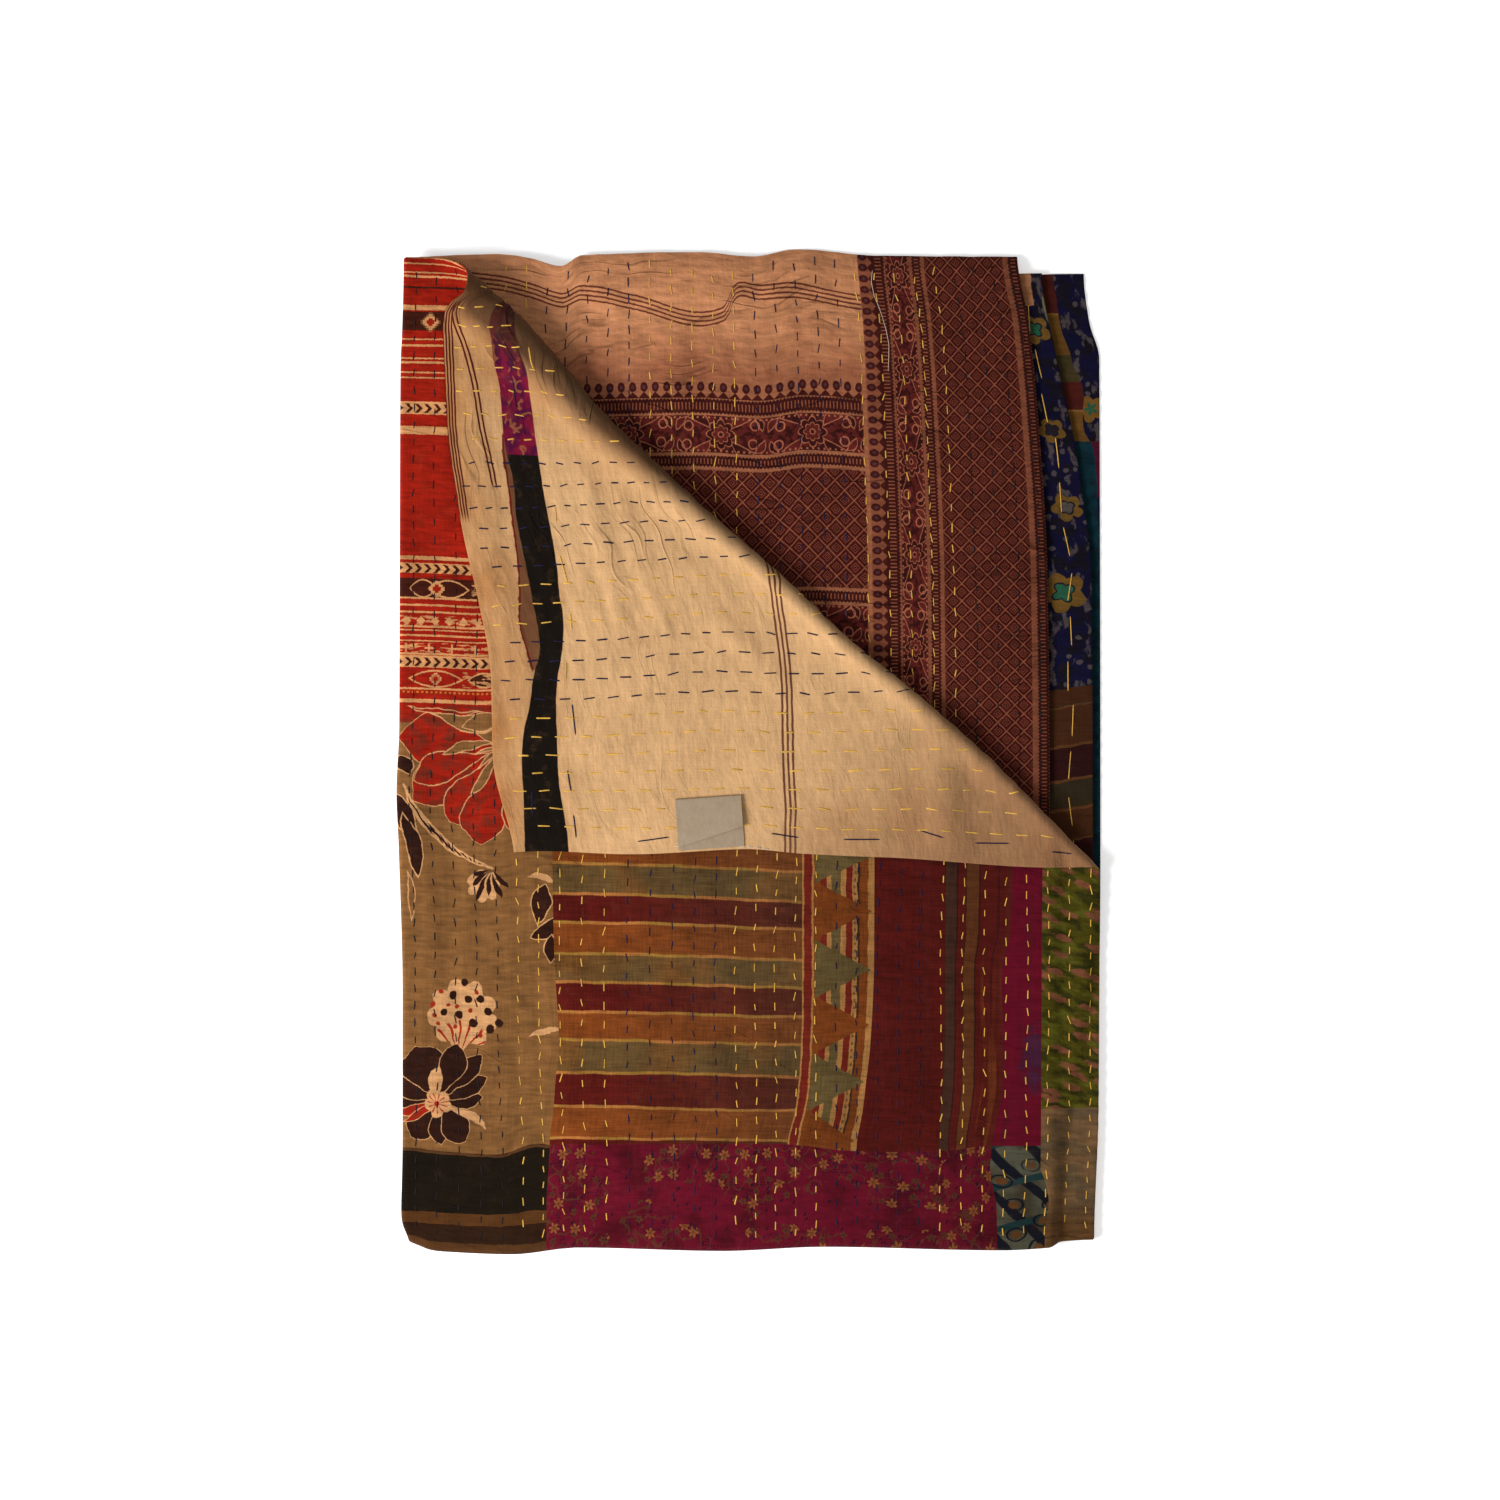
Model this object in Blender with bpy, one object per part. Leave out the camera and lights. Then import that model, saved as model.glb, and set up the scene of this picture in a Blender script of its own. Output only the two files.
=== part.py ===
"""A kantha quilt, folded in half to the left and in half again downwards, so that it lies in four
layers with its hems at the right and the top. The top layer's free corner is turned back over a
soft diagonal roll, and a small folded label is sewn to the hem that the turned corner shows.

The quilt is one sheet. It is described flat first: u runs across it from the left fold, positive
on the top and bottom layers and negative on the two between them, and v runs along it from the
lower fold, positive in the upper pair of layers. quilt_middle() folds that flat sheet into the
pile, and the solid is that surface with the cloth's thickness on both sides.
Lengths are in metres."""

import math

import bpy
import numpy as np

MM = 0.001

# The cloth and the pile that it is folded into.
CLOTH_THICK = 2.4 * MM
LAYER_PITCH = 4.5 * MM  # from the middle of one layer to the middle of the next
SIDE_BEND = LAYER_PITCH / 2  # radius of the left fold
LOWER_BEND = LAYER_PITCH  # radius of the lower fold, at the middle of the pair that it bends
OUTER_BEND = LOWER_BEND + SIDE_BEND
HALF_WIDTH = 630 * MM  # left fold to the hem at the right
HALF_LENGTH = 890 * MM  # lower fold to the hem at the top
PILE_CENTRE = (313.8 * MM, 446.9 * MM)  # middle of the pile's outline, from its two fold lines

# Where the hem of each layer lies, in mm: (height up the pile, distance from the left fold).
TOP_LAYER_HEM = (
    (0, 625), (129, 629), (345, 630), (555, 612), (624, 603), (680, 593), (781, 587), (890, 578),
)
SECOND_LAYER_HEM = ((0, 583), (412, 585), (600, 583), (763, 573), (830, 566), (890, 556))
THIRD_LAYER_HEM = ((0, 583), (345, 624), (601, 623), (718, 610), (817, 590), (890, 578))
BOTTOM_LAYER_HEM = ((0, 625), (345, 631), (812, 630), (845, 621), (890, 616))
# The upper hems, in mm: (distance from the left fold, height up the pile).
TOP_LAYER_END = (
    (0, 891), (29, 891), (70, 889), (94, 894), (105, 911), (116, 921), (130, 924), (205, 922),
    (273, 911), (367, 890), (440, 882), (530, 885), (630, 874),
)
SECOND_LAYER_END = (
    (0, 891), (90, 894), (120, 890), (150, 883), (170, 893), (280, 896), (342, 892),
    (385, 899), (470, 893), (630, 892),
)
LOWER_LAYERS_END = ((0, 884), (300, 880), (560, 876), (630, 877))
# How the two fold lines wander, in mm: (place along the fold, shift across it).
LEFT_FOLD_SHIFT = ((0, 2), (100, 4), (230, 4), (360, 0.5), (410, -1.5), (470, 1), (780, 2), (890, 6))
LOWER_FOLD_SHIFT = ((0, 0), (100, -3.5), (160, 2.5), (290, -0.5), (380, 3.2), (540, 0), (630, 5))
CORNER_PUSH = 13 * MM  # how far the corner between the folds is drawn in
CORNER_REACH = 26 * MM

# The turned corner: its crease line, and the roll along it.
CREASE_START = (25 * MM, 887.5 * MM)
CREASE_END = (624 * MM, 338.5 * MM)
ROLL_RADIUS = ((0, 17), (70, 14.5), (150, 11.5), (260, 9), (450, 7.2), (650, 6.2), (815, 4.5))
CREASE_SWAY = (
    (0, -2), (100, 4), (150, 1), (220, -5.5), (330, -5), (436, -2), (500, -3), (590, 2.5),
    (670, 4.5), (815, 0),
)
SWAY_REACH = 60 * MM
FLAP_REST = LAYER_PITCH  # height of the turned cloth's middle over the layer it lies on
ROLL_EASE = 38 * MM  # radius of the easing curve by which the roll comes down to rest

# Where a layer ends, the layer above comes down over this distance.
DROP_REACH = 11 * MM
FOLD_FULLNESS = 0.32  # how much deeper the pile is along its two folds
FULLNESS_REACH = 28 * MM

# The main creases: layer (0 second, 1 top, 2 turned corner), then, in mm from the two folds, the
# start and end, the half width of the ridge and its height. A negative height is a trough.
CREASES = (
    (0, 175, 862, 330, 852, 9, 3.2),
    (0, 330, 852, 372, 884, 8, 3.4),
    (0, 150, 883, 200, 840, 8, 2.6),
    (0, 300, 820, 345, 858, 7, 2.2),
    (0, 420, 700, 500, 800, 24, 1.6),
    (0, 470, 560, 560, 620, 30, 1.4),
    (2, 275, 575, 345, 505, 8, 1.8),
    (2, 480, 490, 492, 362, 12, 2.8),
    (2, 515, 455, 525, 362, 12, -1.6),
    (2, 160, 700, 205, 560, 11, 1.8),
    (2, 190, 690, 240, 560, 10, 1.5),
    (2, 60, 780, 88, 560, 16, 2.0),
    (2, 90, 600, 120, 430, 15, 1.6),
    (1, 12, 480, 30, 90, 14, 1.8),
    (1, 150, 330, 162, 60, 18, 1.5),
    (1, 360, 330, 372, 60, 22, 1.3),
    (1, 500, 335, 512, 70, 16, 1.4),
    (1, 590, 250, 622, 235, 9, 1.2),
)

# The solid's grid. Distances of its columns from the left fold, in mm, on the outer two layers and
# on the two between them; shares of the length for its rows; and its rows along the roll, in roll
# radii past the crease.
OUTER_COLUMNS = (
    10, 20, 29, 38, 48, 60, 74, 86, 95, 103, 111, 122, 140, 170, 210, 250, 290, 330, 370, 410, 450,
    490, 525, 555, 576, 588, 600, 615, 630,
)
INNER_COLUMNS = (
    12, 28, 55, 90, 112, 128, 142, 156, 172, 200, 250, 300, 350, 400, 450, 500, 550, 600, 630,
)
ROW_SHARES = (0.015, 0.035, 0.06, 0.1, 0.17, 0.27, 0.38, 0.49, 0.6, 0.71, 0.82, 0.92, 0.955, 1)
BAND = (-0.7, 0, 0.55, 1.1, 1.57, 2.1, 2.7, 3.3, 4.2, 5.6, 7.2)
LEAST_BAND = 14 * MM

# The label, folded once: its lower leaf is sewn down, its upper leaf hangs over it.
LABEL_MIDDLE = (280 * MM, 360 * MM)  # the middle of its sewn edge, from the two folds
LABEL_TURN = math.radians(4)
LABEL_WIDTH = 59 * MM
LABEL_RISE = 45 * MM  # sewn edge to its fold
LABEL_OVERHANG = (42 * MM, 27 * MM)  # length of the upper leaf at its left and right side
LABEL_THICK = 0.6 * MM
LABEL_BEND = 0.8 * MM
LABEL_LIFT = 2.2 * MM  # how far the upper leaf's loose side stands up
LABEL_ROWS = (0, 0.33, 0.67, 1, 1.2, 1.4, 1.6, 1.8, 2, 2.25, 2.5, 2.75, 3)
SEAT_GAP = 0.35 * MM


def curve_through(place, table):
    """Smooth curve through a table's (place, value) rows in mm: cubics that don't overshoot, since
    the slope at a row is the harmonic mean of those beside it, and 0 at a peak or a dip."""
    at, value = np.array(table, float).T * MM
    before = np.diff(value)[:-1] / np.diff(at)[:-1]
    after = np.diff(value)[1:] / np.diff(at)[1:]
    mean = 2 * before * after / np.where(before * after > 0, before + after, 1)
    slope = np.pad(np.where(before * after > 0, mean, 0), 1)
    i = np.clip(np.searchsorted(at, place) - 1, 0, len(at) - 2)
    step = at[i + 1] - at[i]
    t = np.clip((place - at[i]) / step, 0, 1)
    rest = 1 - t
    ends = value[i] * (1 + 2 * t) * rest**2 + value[i + 1] * (3 - 2 * t) * t**2
    return ends + step * t * rest * (slope[i] * rest - slope[i + 1] * t)


def eased_step(x):
    """0 below 0, 1 above 1, and a smooth rise between."""
    t = np.clip(x, 0, 1)
    return t * t * (3 - 2 * t)


def ridge(x, y, layer):
    """Sum of the creases on one layer: each is a cosine ridge across its line that fades out over
    its last part at both ends."""
    total = np.zeros_like(x)
    for on, *numbers in CREASES:
        if on != layer:
            continue
        x0, y0, x1, y1, half, height = (n * MM for n in numbers)
        length = math.hypot(x1 - x0, y1 - y0)
        dx, dy = (x1 - x0) / length, (y1 - y0) / length
        along = ((x - x0) * dx + (y - y0) * dy) / length
        across = ((y - y0) * dx - (x - x0) * dy) / (2.2 * half)
        fade = eased_step(along * 3 + 0.5) * eased_step((1 - along) * 3 + 0.5)
        total += height * fade * np.cos(np.pi / 2 * np.clip(across, -1, 1)) ** 2
    return total


def unevenness(x, y):
    """Slow rise and fall of the whole pile, from two crossing waves."""
    return 0.9 * MM * np.sin(17 * x + 5 * y) * np.sin(11 * y - 6 * x + 0.7)


def flat_sheet(a, b):
    """(u, v) of the uneven cut for nominal places a and b from -1 to 1: the hems' wander fades
    towards the folds with the square of the distance."""
    y, x = np.abs(b) * HALF_LENGTH, np.abs(a) * HALF_WIDTH
    outer, upper = a > 0, b > 0
    hem = np.where(
        outer,
        np.where(upper, curve_through(y, TOP_LAYER_HEM), curve_through(y, BOTTOM_LAYER_HEM)),
        np.where(upper, curve_through(y, SECOND_LAYER_HEM), curve_through(y, THIRD_LAYER_HEM)),
    )
    end = np.where(
        upper,
        np.where(outer, curve_through(x, TOP_LAYER_END), curve_through(x, SECOND_LAYER_END)),
        curve_through(x, LOWER_LAYERS_END),
    )
    u = a * (HALF_WIDTH + (hem - HALF_WIDTH) * np.abs(a))
    v = b * (HALF_LENGTH + (end - HALF_LENGTH) * np.abs(b))
    return u, v


def present(x, y, hem, end):
    """1 where a layer lies, falling to 0 beyond its hem and its upper end."""
    beside = 1 - eased_step((x - curve_through(y, hem)) / DROP_REACH)
    above = 1 - eased_step((y - curve_through(x, end)) / (2 * DROP_REACH))
    return beside * above


def missing_layers(x, y):
    """How many of the second, the third and the bottom layer are missing at a place."""
    return (
        1 - present(x, y, SECOND_LAYER_HEM, SECOND_LAYER_END),
        1 - present(x, y, THIRD_LAYER_HEM, LOWER_LAYERS_END),
        1 - present(x, y, BOTTOM_LAYER_HEM, LOWER_LAYERS_END),
    )


def settle(x, y, level, outer):
    """Height of the cloth's middle from its level in the pile, 0 at the bottom layer and 3 at the
    top one, where it has come down over the ends of the layers below it."""
    second, third, bottom = missing_layers(x, y)
    lowered = np.where(
        outer,
        level * (3 - second - third - bottom) / 3,
        level - third * np.clip(level - 1, 0, 1) - bottom * np.clip(level, 0, 1),
    )
    near_fold = np.exp(-np.maximum(np.minimum(x, y), 0) / FULLNESS_REACH)
    height = LAYER_PITCH * lowered * (1 + FOLD_FULLNESS * near_fold)
    return CLOTH_THICK / 2 + height + unevenness(x, y) * level / 3


def roll_section(q, radius):
    """How far out and up the cloth is, q past the crease: round the roll by half a turn and the
    dip, down an easing curve of the opposite bend, and then level."""
    dip = np.arccos((FLAP_REST - radius + ROLL_EASE) / (radius + ROLL_EASE))
    rolled = np.clip(q / radius, 0, np.pi + dip)
    eased = np.clip((q - radius * (np.pi + dip)) / ROLL_EASE, 0, dip)
    level = np.maximum(q - radius * (np.pi + dip) - ROLL_EASE * dip, 0)
    out = radius * np.sin(rolled) - ROLL_EASE * (np.sin(dip) - np.sin(dip - eased)) - level
    up = radius * (1 - np.cos(rolled)) - ROLL_EASE * (np.cos(dip - eased) - np.cos(dip))
    return out, up


def crease_frame():
    """Start of the crease, its direction and the direction across it, towards the free corner."""
    start, end = np.array(CREASE_START), np.array(CREASE_END)
    along = (end - start) / np.linalg.norm(end - start)
    return start, along, np.array((-along[1], along[0]))


def quilt_middle(a, b):
    """Place of the cloth's middle surface in the pile, as arrays x, y, z measured from the two
    fold lines, for nominal places a and b on the flat sheet."""
    u, v = flat_sheet(a, b)
    turned = np.clip(u / SIDE_BEND, -np.pi / 2, np.pi / 2)
    x = SIDE_BEND * (1 - np.cos(turned)) + np.maximum(np.abs(u) - SIDE_BEND * np.pi / 2, 0)
    second, third, _ = missing_layers(x, np.zeros_like(x))
    radius = LOWER_BEND + SIDE_BEND * np.sin(turned)
    radius = np.where(u > 0, radius * (3 - second - third) / 3, radius)
    bent = np.clip(v / LOWER_BEND, -np.pi / 2, np.pi / 2)
    y = OUTER_BEND - radius * np.cos(bent) + np.maximum(np.abs(v) - LOWER_BEND * np.pi / 2, 0)
    level = 1.5 + (LOWER_BEND + SIDE_BEND * np.sin(turned)) * np.sin(bent) / LAYER_PITCH

    # The corner beyond the crease is carried round the roll.
    start, along, across = crease_frame()
    on_top = (u > 0) & (v > 0)
    s = (x - start[0]) * along[0] + (y - start[1]) * along[1]
    q = np.where(on_top, (x - start[0]) * across[0] + (y - start[1]) * across[1], -1)
    roll = curve_through(s, ROLL_RADIUS)
    out, up = roll_section(np.maximum(q, 0), roll)
    sway = curve_through(s, CREASE_SWAY) * np.exp(-((np.minimum(q, 0) / SWAY_REACH) ** 2)) * on_top
    shift = np.where(q > 0, out - q, 0) + sway
    x, y = x + shift * across[0], y + shift * across[1]

    outer = u > 0
    z = settle(x, y, level, outer) + up * (q > 0)
    second_shows = (~outer & (v > 0)) * eased_step((level - 1.6) / 0.3)
    top_shows = on_top * eased_step(-q / (20 * MM)) * eased_step((level - 2.6) / 0.3)
    corner_shows = (q > 0) * eased_step((q / roll - np.pi) / 2)
    clear_of_roll = eased_step(
        ((x - start[0]) * across[0] + (y - start[1]) * across[1] - 25 * MM) / (20 * MM)
    )
    z = z + ridge(x, y, 0) * second_shows * clear_of_roll
    z = z + ridge(x, y, 1) * top_shows + ridge(x, y, 2) * corner_shows
    return wandered(x, y) + (z,)


def wandered(x, y):
    """Plan places after the two fold lines' wander and the rounding of the corner between them."""
    beside_left = np.exp(-np.maximum(x, 0) / (60 * MM))
    beside_lower = np.exp(-np.maximum(y, 0) / (60 * MM))
    push = CORNER_PUSH * np.exp(-(x**2 + y**2) / (2 * CORNER_REACH**2))
    return (
        x + curve_through(y, LEFT_FOLD_SHIFT) * beside_left + push,
        y + curve_through(x, LOWER_FOLD_SHIFT) * beside_lower + push,
    )


def sheet_places():
    """The solid's grid on the flat sheet: columns closer at the left fold, at the roll's mouth and
    at the steps by the hems, rows closer at the lower fold and along the roll."""
    bend = np.array((0, 0.5, 1)) * SIDE_BEND * np.pi / 2
    outer = np.concatenate((bend, np.array(OUTER_COLUMNS) * MM))
    inner = np.concatenate((bend, np.array(INNER_COLUMNS) * MM))
    columns = np.concatenate((-inner[:0:-1], outer))
    x = np.abs(columns)

    start, along, across = crease_frame()
    crease_y = start[1] + (x - start[0]) * along[1] / along[0]
    roll = curve_through((x - start[0]) / along[0], ROLL_RADIUS)
    foot = np.minimum(crease_y, HALF_LENGTH - LEAST_BAND)
    reach = np.minimum(BAND[-1] * roll / across[1], 0.85 * (HALF_LENGTH - foot))
    band = foot + np.array(BAND)[:, None] / BAND[-1] * reach
    half_bend = (np.array((0, 1 / 3, 2 / 3, 1)) * LOWER_BEND * np.pi / 2)[:, None]
    bend = np.repeat(half_bend, len(x), axis=1)
    shares = np.array(ROW_SHARES)[:, None]
    lower = np.concatenate((bend, np.repeat(shares * HALF_LENGTH, len(x), axis=1)))
    above = foot + reach + np.linspace(0.14, 1, 7)[:, None] * (HALF_LENGTH - foot - reach)
    upper = np.concatenate((bend[1:], shares[:-1] * foot, band, above))
    rows = np.concatenate((-lower[::-1], upper))
    return np.broadcast_to(columns / HALF_WIDTH, rows.shape), rows / HALF_LENGTH


def offset_surfaces(surface, a, b, thick):
    """The two faces of a cloth of this thickness about surface(a, b): half of it along and half
    against the normal, which is the cross product of the surface's two slopes."""
    tiny = 1e-4
    middle = np.stack(surface(a, b), -1)
    across = np.stack(surface(a + tiny, b), -1) - np.stack(surface(a - tiny, b), -1)
    along = np.stack(surface(a, b + tiny), -1) - np.stack(surface(a, b - tiny), -1)
    normal = np.cross(across, along)
    normal /= np.linalg.norm(normal, axis=-1, keepdims=True)
    return middle + normal * thick / 2, middle - normal * thick / 2


def cloth_solid(name, upper, lower, colour, roughness):
    """One closed solid between two grids of points that bound a cloth."""
    rows, columns = upper.shape[:2]
    count = rows * columns
    index = np.arange(count).reshape(rows, columns)
    a, b, c, d = index[:-1, :-1], index[:-1, 1:], index[1:, 1:], index[1:, :-1]
    face = np.stack((a, b, c, d), -1).reshape(-1, 4)
    rim = np.concatenate((index[0], index[1:, -1], index[-1, -2::-1], index[-2:0:-1, 0]))
    following = np.roll(rim, -1)
    side = np.stack((rim, rim + count, following + count, following), -1)
    faces = np.concatenate((face, face[:, ::-1] + count, side))
    points = np.concatenate((upper.reshape(-1, 3), lower.reshape(-1, 3)))
    mesh = bpy.data.meshes.new(name)
    mesh.from_pydata(points.tolist(), [], faces.tolist())
    mesh.shade_smooth()
    mesh.set_sharp_from_angle(angle=math.radians(50))
    material = bpy.data.materials.new(name)
    material.use_nodes = True
    shader = material.node_tree.nodes["Principled BSDF"]
    shader.inputs["Base Color"].default_value = (*colour, 1)
    shader.inputs["Roughness"].default_value = roughness
    shader.inputs["Metallic"].default_value = 0
    mesh.materials.append(material)
    solid = bpy.data.objects.new(name, mesh)
    bpy.context.scene.collection.objects.link(solid)
    return solid


def from_pile(points):
    """Points measured from the two fold lines, moved to the pile's own centre."""
    return points - np.array((*PILE_CENTRE, 0))


def label_places(across, along):
    """Place of the label's middle surface before it is set down: across runs over its width, and
    along is 0 to 1 up the lower leaf, 1 to 2 round the fold and 2 to 3 down the upper leaf."""
    side = (across + 1) / 2
    hang = LABEL_OVERHANG[0] * (1 - side) + LABEL_OVERHANG[1] * side
    turned = np.clip(along - 1, 0, 1) * np.pi
    back = np.clip(along - 2, 0, None)
    lift = LABEL_LIFT * side * eased_step(back)
    x = across * LABEL_WIDTH / 2
    y = np.minimum(along, 1) * LABEL_RISE + LABEL_BEND * np.sin(turned) - back * hang
    z = LABEL_BEND * (1 - np.cos(turned)) + lift
    cos, sin = math.cos(LABEL_TURN), math.sin(LABEL_TURN)
    return LABEL_MIDDLE[0] + x * cos - y * sin, LABEL_MIDDLE[1] + x * sin + y * cos, z


def highest_under_label(faces):
    """Highest point of the quilt's faces over the label's ground."""
    spots = np.concatenate([face.reshape(-1, 3) for face in faces])
    reach = LABEL_RISE + 20 * MM
    near = np.hypot(*(spots[:, :2] - np.array(LABEL_MIDDLE)).T) < reach
    return spots[near, 2].max()


def remove_all():
    for thing in list(bpy.data.objects):
        bpy.data.objects.remove(thing)


def main():
    remove_all()
    a, b = sheet_places()
    front, back = offset_surfaces(quilt_middle, a, b, CLOTH_THICK)
    cloth_solid("kantha_quilt", from_pile(front), from_pile(back), (0.42, 0.20, 0.12), 0.85)

    across, along = np.meshgrid(np.linspace(-1, 1, 7), LABEL_ROWS)
    upper, lower = offset_surfaces(label_places, across, along, LABEL_THICK)
    seat = highest_under_label((front, back)) + SEAT_GAP - lower[..., 2].min()
    lift = np.array((0, 0, seat))
    cloth_solid("sewn_label", from_pile(upper + lift), from_pile(lower + lift), (0.42, 0.42, 0.38), 0.5)


main()
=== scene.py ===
"""A kantha quilt, folded into four layers with its top corner turned back over a soft roll.

The quilt is one sheet. It is described flat first: u runs across it from the left fold, positive on
the top and bottom layers and negative on the two between them, and v runs along it from the lower
fold, positive in the upper pair of layers. Side A, the patchwork, is the front of every piece here,
and side B, the old sari and the plain cotton, is its back. quilt_middle() folds the flat sheet.
Lengths are in metres, and patterns are drawn in millimetres of cloth."""

import functools
import math
from types import SimpleNamespace

import bpy
import numpy as np
from bpy.props import FloatProperty, FloatVectorProperty, PointerProperty
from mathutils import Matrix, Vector


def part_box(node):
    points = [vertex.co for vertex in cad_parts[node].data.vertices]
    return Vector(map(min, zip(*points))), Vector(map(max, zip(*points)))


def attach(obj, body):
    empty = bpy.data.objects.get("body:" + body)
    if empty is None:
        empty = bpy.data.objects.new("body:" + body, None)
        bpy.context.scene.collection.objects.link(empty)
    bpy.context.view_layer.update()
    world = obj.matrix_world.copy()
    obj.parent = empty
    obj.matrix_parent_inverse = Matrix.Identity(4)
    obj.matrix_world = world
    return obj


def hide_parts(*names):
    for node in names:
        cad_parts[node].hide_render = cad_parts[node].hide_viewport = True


bl_info = {
    "name": "Folded Kantha Quilt",
    "version": (1, 0, 0),
    "blender": (4, 5, 0),
    "location": "3D View > Sidebar > Kantha Quilt",
    "description": "Builds a folded patchwork quilt with running stitches, and its small stage",
    "category": "Add Mesh",
}

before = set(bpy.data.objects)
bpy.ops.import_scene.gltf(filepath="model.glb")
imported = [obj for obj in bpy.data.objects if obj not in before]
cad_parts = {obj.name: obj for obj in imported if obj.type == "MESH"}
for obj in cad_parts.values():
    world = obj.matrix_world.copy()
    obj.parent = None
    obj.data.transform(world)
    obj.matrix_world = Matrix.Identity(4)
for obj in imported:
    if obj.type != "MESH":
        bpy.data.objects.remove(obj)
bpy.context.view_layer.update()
MM = 0.001

# The pile, as in the solid it stands for.
CLOTH_THICK = 2.4 * MM
LAYER_PITCH = 4.5 * MM
SIDE_BEND = LAYER_PITCH / 2
LOWER_BEND = LAYER_PITCH
OUTER_BEND = LOWER_BEND + SIDE_BEND
WIDTH_MM = 630
HALF_WIDTH = WIDTH_MM * MM
HALF_LENGTH = 890 * MM
INNER_CUT_MM = 50  # by which the inner layers are cut narrower
PILE_CENTRE = (313.8 * MM, 446.9 * MM)

# Where the hems of the top, the second, the third and the bottom layer lie, in mm: (height up the
# pile, distance from the left fold).
HEMS = (
    ((0, 625), (129, 629), (345, 630), (555, 612), (624, 603), (680, 593), (781, 587), (890, 578)),
    ((0, 583), (412, 585), (600, 583), (763, 573), (830, 566), (890, 556)),
    ((0, 583), (345, 624), (601, 623), (718, 610), (817, 590), (890, 578)),
    ((0, 625), (345, 631), (812, 630), (845, 621), (890, 616)),
)
# And their upper hems: (distance from the left fold, height up the pile).
UPPER_HEMS = (
    ((0, 891), (29, 891), (70, 889), (94, 894), (105, 911), (116, 921), (130, 924), (205, 922),
     (273, 911), (367, 890), (440, 882), (530, 885), (630, 874)),
    ((0, 891), (90, 894), (120, 890), (150, 883), (170, 893), (280, 896), (342, 892),
     (385, 899), (470, 893), (630, 892)),
    *[((0, 884), (300, 880), (560, 876), (630, 877))] * 2,
)
# How the two fold lines wander, in mm: (place along the fold, shift across it).
LEFT_FOLD_SHIFT = (
    (0, 2), (100, 4), (230, 4), (360, 0.5), (410, -1.5), (470, 1), (780, 2), (890, 6),
)
LOWER_FOLD_SHIFT = ((0, 0), (100, -3.5), (160, 2.5), (290, -0.5), (380, 3.2), (540, 0), (630, 5))
WANDER_REACH = 60 * MM
CORNER_PUSH = 7 * MM
CORNER_REACH = 13 * MM

# The turned corner's crease line, and the roll along it.
CREASE_START = (25 * MM, 887.5 * MM)
CREASE_END = (624 * MM, 338.5 * MM)
ROLL_RADIUS = ((0, 17), (70, 14.5), (150, 11.5), (260, 9), (450, 7.2), (650, 6.2), (815, 4.5))
CREASE_SWAY = (
    (0, -2), (100, 4), (150, 1), (220, -5.5), (330, -5), (436, -2), (500, -3), (590, 2.5),
    (670, 4.5), (815, 0),
)
SWAY_REACH = 60 * MM
FLAP_REST = LAYER_PITCH
ROLL_EASE = 38 * MM
DROP_REACH = 11 * MM
FOLD_FULLNESS = 0.32
FULLNESS_REACH = 28 * MM

# The main creases: layer (0 second, 1 top, 2 turned corner), then, in mm from the two folds, the
# start and end, the half width of the ridge and its height. A negative height is a trough.
CREASES = (
    (0, 175, 862, 330, 852, 9, 3.2),
    (0, 330, 852, 372, 884, 8, 3.4),
    (0, 150, 883, 200, 840, 8, 2.6),
    (0, 300, 820, 345, 858, 7, 2.2),
    (0, 290, 843, 373, 892, 4, 1.8),
    (0, 309, 838, 408, 814, 4, 1.7),
    (0, 265, 809, 304, 843, 4, 1.5),
    (0, 329, 858, 408, 870, 4, 1.5),
    (0, 344, 814, 408, 802, 4, 1.2),
    (0, 200, 863, 265, 879, 4, 1.8),
    (0, 222, 833, 257, 804, 4, 1.3),
    (0, 420, 700, 500, 800, 24, 1.6),
    (0, 470, 560, 560, 620, 30, 1.4),
    (2, 275, 575, 345, 505, 8, 1.8),
    (2, 480, 490, 492, 362, 11, 3.4),
    (2, 515, 455, 525, 362, 12, -1.6),
    (2, 165, 700, 200, 560, 6, 1.7),
    (2, 192, 690, 240, 550, 5.5, 1.5),
    (2, 60, 780, 88, 560, 10, 1.8),
    (2, 90, 600, 120, 430, 9, 1.5),
    (1, 12, 480, 30, 90, 14, 1.8),
    (1, 150, 330, 162, 60, 18, 1.5),
    (1, 360, 330, 372, 60, 22, 1.3),
    (1, 500, 335, 512, 70, 16, 1.4),
    (1, 590, 250, 622, 235, 9, 1.2),
)

# The label, folded once: its lower leaf is sewn down, its upper leaf hangs over it.
LABEL_MIDDLE = (280 * MM, 360 * MM)
LABEL_TURN = math.radians(4)
LABEL_WIDTH = 59 * MM
LABEL_RISE = 45 * MM
LABEL_OVERHANG = (42 * MM, 27 * MM)
LABEL_THICK = 0.6 * MM
LABEL_BEND = 0.8 * MM
LABEL_LIFT = 2.2 * MM

PICTURE_WIDTH = 1.35  # width of the floor that the camera sees, in metres
PICTURE_MIDDLE = (0.0006, 0.0013)
FLOOR_REACH = 6

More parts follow.
